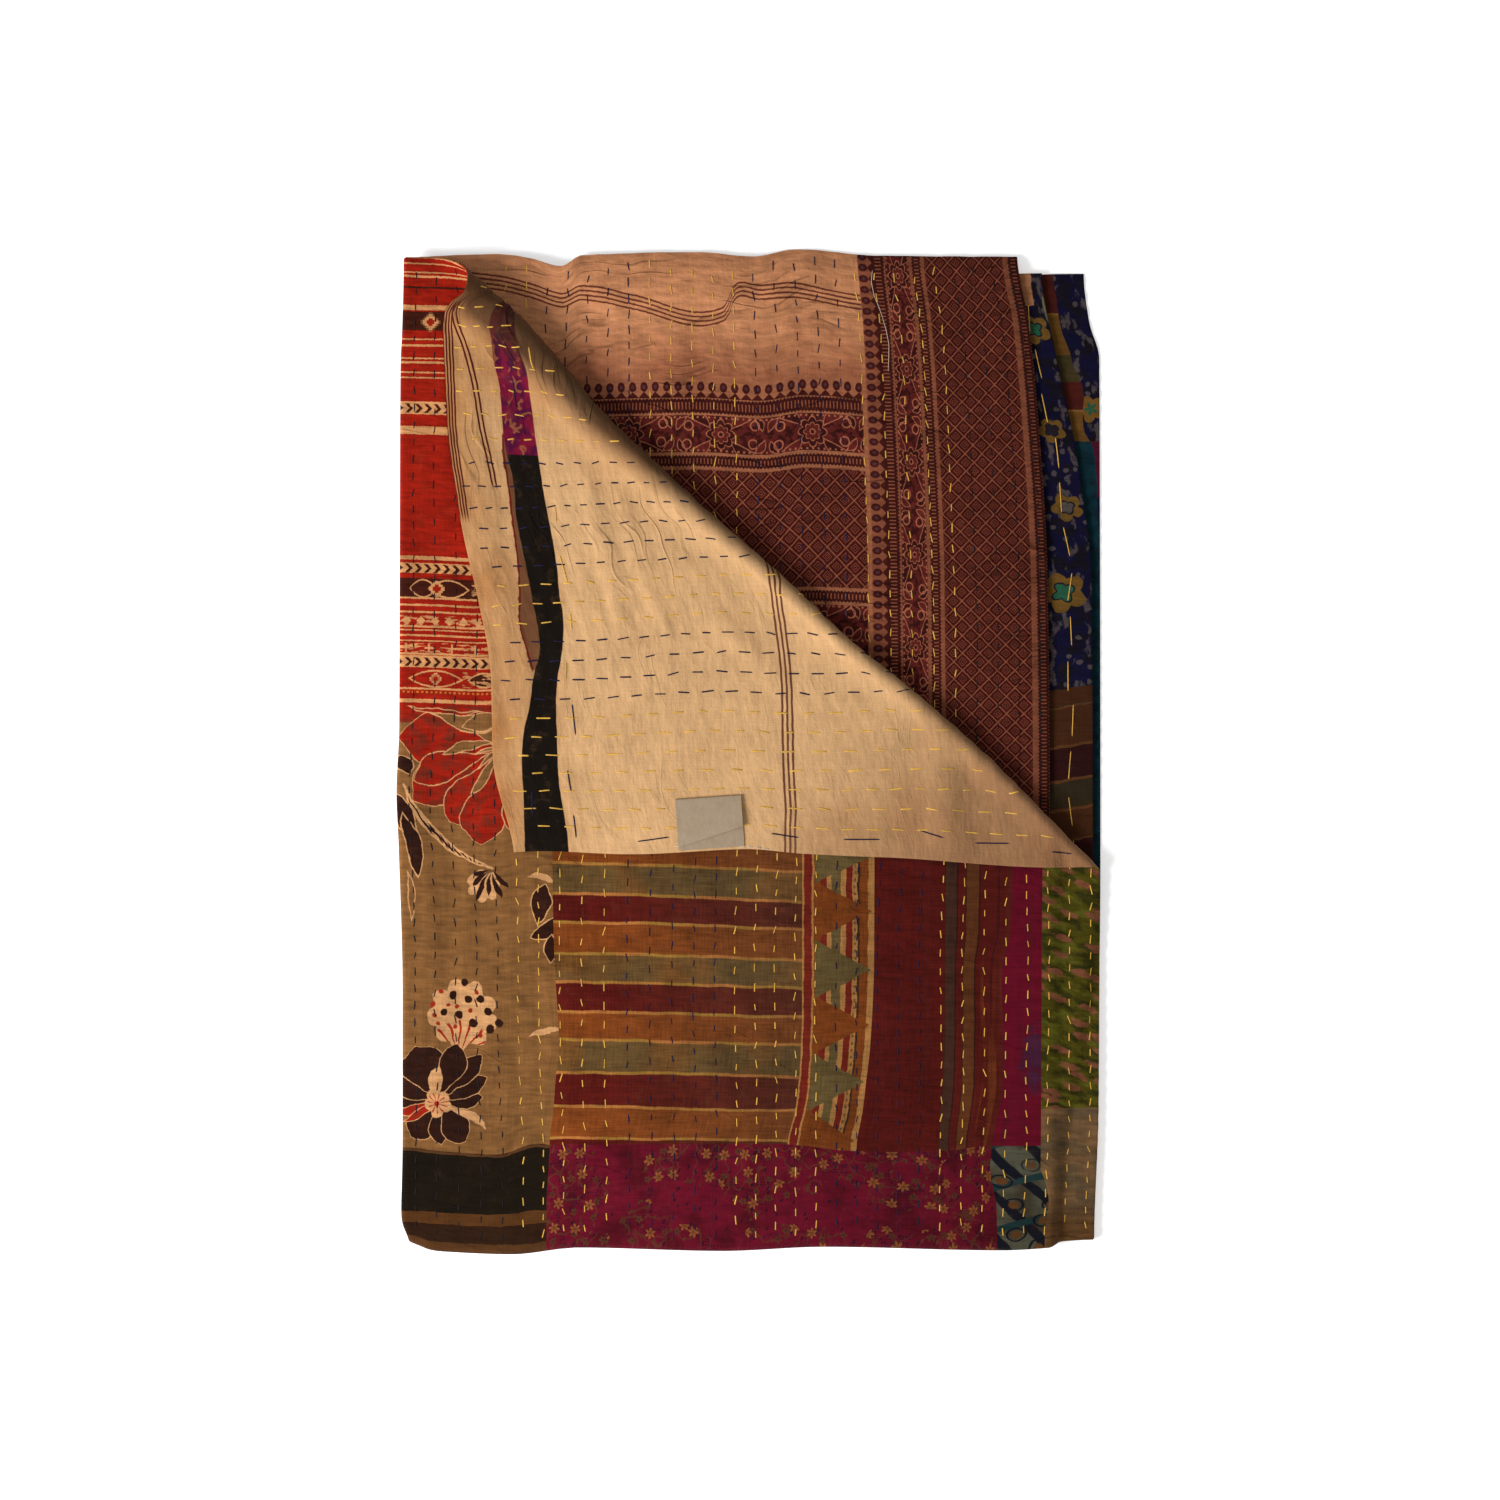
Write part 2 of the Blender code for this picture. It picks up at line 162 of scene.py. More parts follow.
# Seams between the patches of side A on the top layer, from the left one on, in mm:
# (height v, distance u).
SEAMS = (
    ((0, 133), (39, 133), (73, 135), (98, 136), (124, 139), (150, 141), (188, 144), (209, 143),
     (259, 140), (340, 138.5), (480, 139), (900, 139)),
    ((0, 350), (90, 350), (128, 357), (170, 361), (215, 362.5), (900, 362.5)),
    ((0, 412), (93, 412), (127, 417.5), (150, 420), (187, 424), (260, 427), (900, 428)),
    ((0, 486), (102, 486), (150, 489), (220, 490.5), (900, 490.5)),
    ((0, 541), (36, 540), (73, 533), (93, 534), (116, 538), (150, 543), (205, 542.5), (240, 541.6),
     (260, 543), (284, 549), (350, 550.5), (900, 550.5)),
    ((0, 584), (22, 585), (41, 587), (60, 583), (72, 578.5), (150, 577.5), (900, 579)),
)
FOOT_SEAM = 91  # height of the seam over the lower patches
LEAF_SEAM = 127  # and over the grey-brown one at the right

# Grids, in mm: the size of a cell, and the lines that a fold and a rounded hem are drawn with.
CELL = 4.0
FOLD_LINES = (0, 1.3, 2.5, 3.6)
LOWER_FOLD_LINES = (0, 2.4, 4.7, 7.1)
HEM_LINES = (1.2, 0.69, 0.28, 0.026)
LEAST_BAND = 5 * MM
BAND_END = 7.2  # length of the fine rows along the roll, in roll radii past the crease
BAND_START = -0.7

# Running stitches, in mm of cloth: first row and spacing, on the outer and on the inner layers.
OUTER_ROWS = (12.4, 19.05, 33)
INNER_ROWS = (18.5, 19.1, 30)
STITCH_SEED = 11
STITCHED = (9, 884)  # from where to where along the cloth

# Slow shifts of the rows, as (height, cell), and their swells, as (height, middle, reach).
ROW_WAVES = ((4.4, 170), (2.4, 60))
ROW_SWELL = (6.5, 270, 85)
FIRST_ROWS_LEAN = (5, 90, 60)

# Where cloth is seen, each as (start, softness): the corner hides the top layer past two places,
# and the second layer and the corner's own face begin so far past the crease.
HIDDEN_ACROSS, HIDDEN_ALONG = (135 * MM, 25 * MM), (372 * MM, 18 * MM)
SECOND_SHOWS, CORNER_SHOWS = (-30 * MM, 20 * MM), (30 * MM, 20 * MM)
LOWER_SHOWS = (560 * MM, 25 * MM)

# The cloth is calm under the label: middle across and up the pile, and half the sizes.
UNDER_LABEL = (282 * MM, 382 * MM, 38 * MM, 27 * MM)
CALM_REACH = 14 * MM
FLOOR_GAP = 0.05 * MM
PILE_UNEVEN = 0.9 * MM


def curve_through(place, table):
    """Smooth curve through a table's (place, value) rows in mm: cubics that don't overshoot, since
    the slope at a row is the harmonic mean of those beside it, and 0 at a peak or a dip."""
    at, value = np.array(table, float).T * MM
    before = np.diff(value)[:-1] / np.diff(at)[:-1]
    after = np.diff(value)[1:] / np.diff(at)[1:]
    mean = 2 * before * after / np.where(before * after > 0, before + after, 1)
    slope = np.pad(np.where(before * after > 0, mean, 0), 1)
    i = np.clip(np.searchsorted(at, place) - 1, 0, len(at) - 2)
    step = at[i + 1] - at[i]
    t = np.clip((place - at[i]) / step, 0, 1)
    rest = 1 - t
    ends = value[i] * (1 + 2 * t) * rest**2 + value[i + 1] * (3 - 2 * t) * t**2
    return ends + step * t * rest * (slope[i] * rest - slope[i + 1] * t)


def eased_step(x):
    """0 below 0, 1 above 1, and a smooth rise between."""
    t = np.clip(x, 0, 1)
    return t * t * (3 - 2 * t)


def beyond(place, start, soft):
    """0 before start, 1 from soft further on."""
    return eased_step((place - start) / soft)


def ridge(x, y, layer):
    """Sum of one layer's creases: cosine ridges across their lines that fade at both ends."""
    total = np.zeros_like(x)
    for on, *numbers in CREASES:
        if on != layer:
            continue
        x0, y0, x1, y1, half, height = (n * MM for n in numbers)
        length = math.hypot(x1 - x0, y1 - y0)
        dx, dy = (x1 - x0) / length, (y1 - y0) / length
        along = ((x - x0) * dx + (y - y0) * dy) / length
        across = ((y - y0) * dx - (x - x0) * dy) / (2.2 * half)
        fade = eased_step(along * 3 + 0.5) * eased_step((1 - along) * 3 + 0.5)
        total += height * fade * np.cos(np.pi / 2 * np.clip(across, -1, 1)) ** 2
    return total


def unevenness(x, y):
    """Slow rise and fall of the whole pile, from two crossing waves."""
    return PILE_UNEVEN * np.sin(17 * x + 5 * y) * np.sin(11 * y - 6 * x + 0.7)


def flat_sheet(a, b):
    """(u, v) of the uneven cut for nominal places a and b from -1 to 1: the hems' wander fades
    towards the folds with the square of the distance."""
    y, x = np.abs(b) * HALF_LENGTH, np.abs(a) * HALF_WIDTH
    outer, upper = a > 0, b > 0

    def of_layer(place, tables):
        top, second, third, bottom = (curve_through(place, table) for table in tables)
        return np.where(upper, np.where(outer, top, second), np.where(outer, bottom, third))

    hem, end = of_layer(y, HEMS), of_layer(x, UPPER_HEMS)
    u = a * (HALF_WIDTH + (hem - HALF_WIDTH) * np.abs(a))
    v = b * (HALF_LENGTH + (end - HALF_LENGTH) * np.abs(b))
    return u, v


def missing_layers(x, y):
    """How many of the second, the third and the bottom layer are missing at a place: each is
    there up to its hem and its upper hem, and its share falls off smoothly beyond them."""
    beside = (1 - beyond(x, curve_through(y, hem), DROP_REACH) for hem in HEMS[1:])
    below = (1 - beyond(y, curve_through(x, end), 2 * DROP_REACH) for end in UPPER_HEMS[1:])
    return [1 - share * upper_share for share, upper_share in zip(beside, below)]


def settle(x, y, level, outer):
    """Height of the cloth's middle from its level in the pile, 0 at the bottom layer and 3 at the
    top one, where it has come down over the ends of the layers below it."""
    second, third, bottom = missing_layers(x, y)
    lowered = np.where(
        outer,
        level * (3 - second - third - bottom) / 3,
        level - third * np.clip(level - 1, 0, 1) - bottom * np.clip(level, 0, 1),
    )
    near_fold = np.exp(-np.maximum(np.minimum(x, y), 0) / FULLNESS_REACH)
    height = LAYER_PITCH * lowered * (1 + FOLD_FULLNESS * near_fold)
    return CLOTH_THICK / 2 + height + unevenness(x, y) * level / 3


def roll_section(q, radius):
    """How far out and up the cloth is, q past the crease: round the roll by half a turn and the
    dip, down an easing curve of the opposite bend, and then level."""
    dip = np.arccos((FLAP_REST - radius + ROLL_EASE) / (radius + ROLL_EASE))
    rolled = np.clip(q / radius, 0, np.pi + dip)
    eased = np.clip((q - radius * (np.pi + dip)) / ROLL_EASE, 0, dip)
    level = np.maximum(q - radius * (np.pi + dip) - ROLL_EASE * dip, 0)
    out = radius * np.sin(rolled) - ROLL_EASE * (np.sin(dip) - np.sin(dip - eased)) - level
    up = radius * (1 - np.cos(rolled)) - ROLL_EASE * (np.cos(dip - eased) - np.cos(dip))
    return out, up


def crease_frame():
    """Start of the crease, its direction and the direction across it, towards the free corner."""
    start, end = np.array(CREASE_START), np.array(CREASE_END)
    along = (end - start) / np.linalg.norm(end - start)
    return start, along, np.array((-along[1], along[0]))


def past_crease(x, y):
    """How far along the crease a place is, and how far past it."""
    start, *ways = crease_frame()
    return [(x - start[0]) * way[0] + (y - start[1]) * way[1] for way in ways]


def quilt_middle(a, b):
    """Place of the cloth's middle surface in the pile, as arrays x, y, z measured from the two
    fold lines, for nominal places a and b on the flat sheet: round the left fold, round the lower
    fold at the radius that the layer has there, and beyond the crease round the roll."""
    u, v = flat_sheet(a, b)
    turned = np.clip(u / SIDE_BEND, -np.pi / 2, np.pi / 2)
    x = SIDE_BEND * (1 - np.cos(turned)) + np.maximum(np.abs(u) - SIDE_BEND * np.pi / 2, 0)
    second, third, _ = missing_layers(x, np.zeros_like(x))
    radius = LOWER_BEND + SIDE_BEND * np.sin(turned)
    radius = np.where(u > 0, radius * (3 - second - third) / 3, radius)
    bent = np.clip(v / LOWER_BEND, -np.pi / 2, np.pi / 2)
    y = OUTER_BEND - radius * np.cos(bent) + np.maximum(np.abs(v) - LOWER_BEND * np.pi / 2, 0)
    level = 1.5 + (LOWER_BEND + SIDE_BEND * np.sin(turned)) * np.sin(bent) / LAYER_PITCH

    across = crease_frame()[2]
    on_top = (u > 0) & (v > 0)
    s, q = past_crease(x, y)
    q = np.where(on_top, q, -1)
    roll = curve_through(s, ROLL_RADIUS)
    out, up = roll_section(np.maximum(q, 0), roll)
    sway = curve_through(s, CREASE_SWAY) * np.exp(-((np.minimum(q, 0) / SWAY_REACH) ** 2)) * on_top
    shift = np.where(q > 0, out - q, 0) + sway
    x, y = x + shift * across[0], y + shift * across[1]

    outer = u > 0
    z = settle(x, y, level, outer) + up * (q > 0)
    second_shows = (~outer & (v > 0)) * beyond(level, 1.6, 0.3)
    top_shows = on_top * eased_step(-q / (20 * MM)) * beyond(level, 2.6, 0.3)
    corner_shows = (q > 0) * eased_step((q / roll - np.pi) / 2)
    clear_of_roll = beyond(past_crease(x, y)[1], 25 * MM, 20 * MM)
    z = z + ridge(x, y, 0) * second_shows * clear_of_roll
    z = z + ridge(x, y, 1) * top_shows + ridge(x, y, 2) * corner_shows
    return wandered(x, y) + (z,)


def wandered(x, y):
    """Plan places after the two fold lines' wander and the rounding of the corner between them."""
    push = CORNER_PUSH * np.exp(-(x**2 + y**2) / (2 * CORNER_REACH**2))
    ways = ((x, y, LEFT_FOLD_SHIFT), (y, x, LOWER_FOLD_SHIFT))
    return tuple(
        away + curve_through(along, shift) * np.exp(-np.maximum(away, 0) / WANDER_REACH) + push
        for away, along, shift in ways
    )


def soft_noise(x, y, cell, seed):
    """Smooth noise from 0 to 1: random values on a lattice of this cell, eased between them."""
    lattice = np.random.default_rng(seed).random((256, 256))
    column, row = x / cell + 100.5, y / cell + 100.5
    i, j = np.floor(column).astype(int), np.floor(row).astype(int)
    s, t = eased_step(column - i), eased_step(row - j)
    i, j = i % 255, j % 255
    low = lattice[i, j] * (1 - s) + lattice[i + 1, j] * s
    high = lattice[i, j + 1] * (1 - s) + lattice[i + 1, j + 1] * s
    return low * (1 - t) + high * t


def flat_mm(a, b):
    """Places a and b in mm of cloth, as the patterns and the stitches count them: the inner layers
    are cut narrower, so their count slows towards the hem."""
    t = np.abs(a)
    across = np.where(a > 0, WIDTH_MM * t, t * (WIDTH_MM - INNER_CUT_MM * t))
    return across, b * HALF_LENGTH / MM


def nominal(across, along, outer):
    """The places a and b for mm of cloth: flat_mm the other way."""
    root = np.sqrt(WIDTH_MM**2 - 4 * INNER_CUT_MM * across)
    t = (WIDTH_MM - root) / (2 * INNER_CUT_MM)
    return np.where(outer, across / WIDTH_MM, -t), along * MM / HALF_LENGTH


def row_shift(across, along, outer):
    """How far a row of stitches is off its even place: slow noise, and on the outer layers a swell
    between the eighth and the eighteenth row and a lean of the first ones."""
    (high, cell), (fine_high, fine_cell) = ROW_WAVES
    slow = high * (soft_noise(across, along, cell, 3) - 0.5)
    slow = slow + fine_high * (soft_noise(across, along, fine_cell, 4) - 0.5)
    high, middle, reach = ROW_SWELL
    swell = high * np.exp(-(((across - middle) / reach) ** 2))
    high, middle, reach = FIRST_ROWS_LEAN
    lean = high * np.exp(-(((across - middle) / reach) ** 2)) * (1 - eased_step(along / 330))
    return slow + np.where(outer, swell + lean, 0)


class RunningStitch:
    """Rows of running stitches. A row's phase grows by 1 from a stitch on side A to the next, and
    is at a half where the thread shows on side B."""

    def __init__(self, outer, first, spacing, count, seed):
        random = np.random.default_rng(seed)
        self.outer, self.first, self.spacing, self.count = outer, first, spacing, count
        self.pitch = random.uniform(14.4, 18.2, count + 2)
        self.offset = np.cumsum(random.normal(0.42, 0.16, count + 2))
        self.turn = random.uniform(0, 2 * np.pi, count + 2)

    def phase(self, row, along):
        turn = self.turn[row]
        wave = 0.13 * np.sin(along / 85 + turn) + 0.06 * np.sin(along / 31 + 3 * turn)
        return along / self.pitch[row] + self.offset[row] + wave

    def along_at(self, row, phase):
        """Where a row reaches this phase, by repeated correction."""
        along = (phase - self.offset[row]) * self.pitch[row]
        for _ in range(8):
            along = along - (self.phase(row, along) - phase) * self.pitch[row]
        return along

    def across_at(self, row, along):
        even = self.first + self.spacing * row
        across = even + 0 * along
        for _ in range(4):
            across = even + row_shift(across, along, self.outer)
        return across

    def relief(self, across, along):
        """Ripple, -1 in a trough of side A to 1, and the share of the way between two rows. Between
        rows the ripple goes smoothly from the one row's to the other's."""
        place = (across - row_shift(across, along, self.outer) - self.first) / self.spacing
        place = np.clip(place, 0, self.count - 1.001)
        row = np.floor(place).astype(int)
        share = eased_step(place - row)
        ripple = -(1 - share) * np.cos(2 * np.pi * self.phase(row, along))
        ripple = ripple - share * np.cos(2 * np.pi * self.phase(row + 1, along))
        return ripple, np.sin(np.pi * (place - row)) ** 2


OUTER_STITCH = RunningStitch(True, *OUTER_ROWS, STITCH_SEED)
INNER_STITCH = RunningStitch(False, *INNER_ROWS, STITCH_SEED + 1)


def shown_share(a, b):
    """1 on the cloth that is seen, 0 where another layer lies on it."""
    u, v = flat_sheet(a, b)
    x, y = np.abs(u), np.abs(v)
    _, q = past_crease(x, y)
    top = np.where(q < 0, 1 - beyond(x, *HIDDEN_ACROSS) * beyond(y, *HIDDEN_ALONG), 1)
    under = np.where(v > 0, beyond(q, *SECOND_SHOWS), beyond(x, *LOWER_SHOWS))
    return np.where((u > 0) & (v > 0), top, under)


def quilting(a, b):
    """(lift, swell) in metres: how far the cloth is lifted towards side A by the ripples of its
    stitches and by crumpling, and how far it swells on both sides between the rows."""
    across, along = flat_mm(a, b)
    reliefs = (stitch.relief(across, along) for stitch in (OUTER_STITCH, INNER_STITCH))
    ripple, between = np.where(a > 0, *reliefs)
    u, v = flat_sheet(a, b)
    _, q = past_crease(np.abs(u), np.abs(v))
    turned = (a > 0) * (b > 0) * beyond(q, *CORNER_SHOWS)
    plain = np.maximum(turned, (a < 0) * (b > 0))  # side B is seen here
    fine = 1 - np.abs(2 * soft_noise(across, along, 15, 21) - 1)
    coarse = 1 - np.abs(2 * soft_noise(across + 9, along, 33, 22) - 1)
    crumple = (0.5 * fine + 0.8 * coarse - 0.75) * (0.35 + 0.65 * plain)
    heave = 1.3 * (soft_noise(across, along, 70, 23) - 0.35) * turned
    sizes = bpy.context.scene.kantha_sizes
    lift = sizes.ripple * ripple * (1 - 0.5 * plain) + sizes.crumple * crumple * (1 - 2 * plain)
    lift = lift - heave * MM  # on the turned corner side A faces down
    off_folds = beyond(across, 3, 9) * beyond(np.abs(along), 5, 10)
    share = off_folds * (0.2 + 0.8 * shown_share(a, b))
    return lift * share, sizes.swell * (between - 0.5) * share


def hem_share(a, b):
    """Share of the thickness near a hem, whose edge is round: a half circle's height."""
    inward = np.minimum(1 - np.abs(a), (1 - np.abs(b)) * HALF_LENGTH / HALF_WIDTH) * HALF_WIDTH
    m = np.clip(inward / (HEM_LINES[0] * MM), 0, 1)
    return np.sqrt(1 - (1 - m) ** 2)


def cloth_faces(a, b):
    """Front and back face of the quilted cloth at a and b, and its normal: the middle surface, and
    half the thickness and the swell along and against the normal, which is the cross product of
    the surface's two slopes."""
    tiny = 1e-4
    middle = np.stack(quilt_middle(a, b), -1)
    across = np.stack(quilt_middle(a + tiny, b), -1) - np.stack(quilt_middle(a - tiny, b), -1)
    along = np.stack(quilt_middle(a, b + tiny), -1) - np.stack(quilt_middle(a, b - tiny), -1)
    normal = np.cross(across, along)
    normal /= np.linalg.norm(normal, axis=-1, keepdims=True)
    lift, swell = quilting(a, b)
    calm = np.maximum(*(
        beyond(np.abs(middle[..., i] - UNDER_LABEL[i]), UNDER_LABEL[i + 2], CALM_REACH)
        for i in (0, 1)
    ))
    lift, swell = lift * (0.1 + 0.9 * calm), swell * calm
    half = (CLOTH_THICK / 2 + swell) * hem_share(a, b)
    middle = middle - np.array((*PILE_CENTRE, 0))
    front = middle + normal * (lift + half)[..., None]
    back = middle + normal * (lift - half)[..., None]
    for face in (front, back):
        face[..., 2] = np.maximum(face[..., 2], FLOOR_GAP)
    return front, back, normal


def even_steps(start, stop, cell):
    """Places after start up to stop, in even steps near to a cell."""
    count = max(1, round((stop - start) / cell))
    return start + (stop - start) * np.arange(1, count + 1) / count


def lines_through(marks, cell, fold, hem=True):
    """Grid lines in mm: those of a fold, then even steps through each mark, and the hem's own."""
    places = list(fold)
    for mark in marks:
        places.extend(even_steps(places[-1], mark, cell))
    if hem:
        end = places.pop()
        places.extend(end - np.array(HEM_LINES))
    return np.array(places)


def seam_shift(u, v):
    """How far the seams of the top layer are off the even place that they have at its top, in mm,
    and evenly less between one seam and the next."""
    knots = np.array([0, *(seam[-1][1] for seam in SEAMS), WIDTH_MM], float)
    shifts = [0 * v] + [curve_through(v * MM, seam) / MM - seam[-1][1] for seam in SEAMS] + [0 * v]
    shifts = np.stack(shifts)
    i = np.clip(np.searchsorted(knots, u) - 1, 0, len(knots) - 2)
    share = (u - knots[i]) / (knots[i + 1] - knots[i])
    low = np.take_along_axis(shifts, i[None], 0)[0]
    high = np.take_along_axis(shifts, i[None] + 1, 0)[0]
    return low * (1 - share) + high * share


# Height of the seam over the lower patches, in mm: (distance u, height v).
LOWER_SEAM = (
    (0, 92.5), (40, 89), (90, 86.5), (128, 95.5), (140, 94), (350, 95), (420, 88.5), (450, 87.5),
    (500, 89), (545, 93.5), (630, 93.5),
)


def lower_seam_shift(u, v):
    """How far the seam over the lower patches is off its even height, and evenly less above it and
    below."""
    off = curve_through(u * MM, LOWER_SEAM) / MM - FOOT_SEAM
    below = np.clip((v - 8) / (FOOT_SEAM - 8), 0, 1)
    above = np.clip((LEAF_SEAM - v) / (LEAF_SEAM - FOOT_SEAM), 0, 1)
    return off * np.where(v < FOOT_SEAM, below, above)


def outer_columns():
    return lines_through([*(seam[-1][1] for seam in SEAMS), WIDTH_MM], CELL, FOLD_LINES)


def roll_lines(columns):
    """Foot of the crease and length of the fine rows past it, over each column, in mm."""
    start, along, across = crease_frame()
    x = columns * MM
    crease_y = start[1] + (x - start[0]) * along[1] / along[0]
    roll = curve_through((x - start[0]) / along[0], ROLL_RADIUS)
    foot = np.minimum(crease_y, HALF_LENGTH - LEAST_BAND)
    reach = np.minimum(BAND_END * roll / across[1], 0.85 * (HALF_LENGTH - foot))
    return foot / MM, reach / MM


def top_layer_grid():
    """Nominal places in mm: even rows over the lower patches, then a fan of rows to the roll."""
    columns = outer_columns()
    foot, reach = roll_lines(columns)
    last = foot + BAND_START / BAND_END * reach
    even = lines_through((FOOT_SEAM, LEAF_SEAM, 140), CELL, LOWER_FOLD_LINES, hem=False)
    low = np.repeat(even[:, None], len(columns), axis=1)
    fan = even[-1] + np.linspace(0, 1, 151)[1:, None] * (last - even[-1])
    return np.broadcast_to(columns, (len(low) + len(fan), len(columns))), np.concatenate((low, fan))


def turned_corner_grid():
    """Nominal places in mm: fine rows round the roll, then even ones to the hem."""
    columns = outer_columns()
    foot, reach = roll_lines(columns)
    band = foot + np.linspace(BAND_START, BAND_END, 37)[:, None] / BAND_END * reach
    length = HALF_LENGTH / MM
    above = band[-1] + np.linspace(0, 1, 112)[1:, None] * (length - HEM_LINES[0] - band[-1])
    hem = np.repeat(length - np.array(HEM_LINES[1:])[:, None], len(columns), axis=1)
    rows = np.concatenate((band, above, hem))
    return np.broadcast_to(columns, rows.shape), rows


def bake_places(rows, columns, seen_front):
    """Places on the baked picture, for the corners of each face: the seen side large at the left,
    the other one small at the right, and the rim along the top."""
    across, up = np.meshgrid(np.linspace(0, 1, columns), np.linspace(0, 1, rows))
    large = np.stack((0.01 + 0.66 * across, 0.01 + 0.93 * up), -1)
    small = np.stack((0.69 + 0.3 * across, 0.01 + 0.43 * up), -1)
    front, back = (large, small) if seen_front else (small, large)
    length = 2 * (rows + columns) - 4
    run = np.linspace(0.01, 0.99, length + 1)
    low, high = np.full(length, 0.955), np.full(length, 0.985)
    corners = ((run[:-1], high), (run[:-1], low), (run[1:], low), (run[1:], high))
    rim = np.stack([np.stack(corner, -1) for corner in corners], 1)
    return np.concatenate((front.reshape(-1, 2), back.reshape(-1, 2))), rim


def make_mesh(name, points, faces, materials, slots=None, maps=(), values=()):
    """A smooth-shaded mesh object at the origin, with UV maps given for each face's corners and
    point attributes."""
    mesh = bpy.data.meshes.new(name)
    mesh.from_pydata(points.tolist(), [], faces.tolist())
    for material in materials:
        mesh.materials.append(material)
    if slots is not None:
        mesh.polygons.foreach_set("material_index", slots.astype(np.int32))
    for title, corners in maps:
        mesh.uv_layers.new(name=title).data.foreach_set("uv", corners.astype(np.float32).ravel())
    for title, numbers in values:
        mesh.attributes.new(title, "FLOAT", "POINT").data.foreach_set(
            "value", np.asarray(numbers, np.float32).ravel()
        )
    mesh.shade_smooth()
    mesh.set_sharp_from_angle(angle=math.radians(55))
    thing = bpy.data.objects.new(name, mesh)
    bpy.context.scene.collection.objects.link(thing)
    return thing


def closed_grid(front, back):
    """Points and faces of the closed mesh between two grids, with the faces of the rim last."""
    rows, columns = front.shape[:2]
    count = rows * columns
    index = np.arange(count).reshape(rows, columns)
    corners = index[:-1, :-1], index[:-1, 1:], index[1:, 1:], index[1:, :-1]
    face = np.stack(corners, -1).reshape(-1, 4)
    rim = np.concatenate((index[0], index[1:, -1], index[-1, -2::-1], index[-2:0:-1, 0]))
    following = np.roll(rim, -1)
    side = np.stack((rim, rim + count, following + count, following), -1)
    points = np.concatenate((front.reshape(-1, 3), back.reshape(-1, 3)))
    return points, np.concatenate((face, face[:, ::-1] + count, side))


def quilt_piece(name, places, outer, upper, patches, seen_front):
    """One layer of the quilt as a closed sheet. places are the grid's nominal columns and rows in
    mm, and patches are rows of (material, on side A, u from, to, v from, to), of which the last
    one that holds a face's middle gives its material."""
    u, v = (np.array(grid, float) for grid in places)
    way_u, way_v = 1 if outer else -1, 1 if upper else -1
    shift_u, shift_v = (seam_shift(u, v), lower_seam_shift(u, v)) if outer and upper else (0, 0)
    a, b = way_u * (u + shift_u) / WIDTH_MM, way_v * (v + shift_v) * MM / HALF_LENGTH
    a, b, u, v = (grid[::way_v, ::way_u] for grid in (a, b, u, v))
    front, back, _ = cloth_faces(a, b)
    points, faces = closed_grid(front, back)

    rows, columns = a.shape
    side = (rows - 1) * (columns - 1)
    across, along = (u, v) if outer and upper else flat_mm(a, b)
    cloth = np.stack((np.where(a > 0, across, -across), along), -1).reshape(-1, 2) * MM
    cloth = np.concatenate((cloth, cloth))[faces]
    places_baked, rim = bake_places(rows, columns, seen_front)
    baked = places_baked[faces]
    baked[2 * side :] = rim

    middles = [np.concatenate((grid.ravel(), grid.ravel()))[faces].mean(1) for grid in (u, v)]
    on_front = np.ones(len(faces), bool)
    on_front[side : 2 * side] = False
    slots = np.zeros(len(faces), int)
    materials = []
    for material, on_a, *limits in patches:
        if material not in materials:
            materials.append(material)
        within = (middles[0] > limits[0]) & (middles[0] < limits[1])
        within &= (middles[1] > limits[2]) & (middles[1] < limits[3]) & (on_front == on_a)
        slots[within] = materials.index(material)
    maps = (("cloth", cloth), ("OFBake", baked))
    thing = make_mesh(name, points, faces, materials, slots, maps)
    on_root(thing, "quilted_cotton", "kantha_quilt")
    flat_u, flat_v = (np.abs(grid) for grid in flat_sheet(a, b))
    return thing


def on_root(thing, slot, *nodes):
    """The piece rides on the one body and may stand for nodes, whose parts it hides.
    Its slot is not used.
    """
    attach(thing, "root")
    if nodes:
        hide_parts(*nodes)


# Threads: the places of a stitch's rings along it, its sides, and, in mm, how high its middle
# lies over the cloth and how deep its ends go into it.
RING_PLACES = (0, 0.1, 0.32, 0.68, 0.9, 1)
TUBE_SIDES = 6
THREAD_PROUD = 0.25
THREAD_DEPTH = 0.45


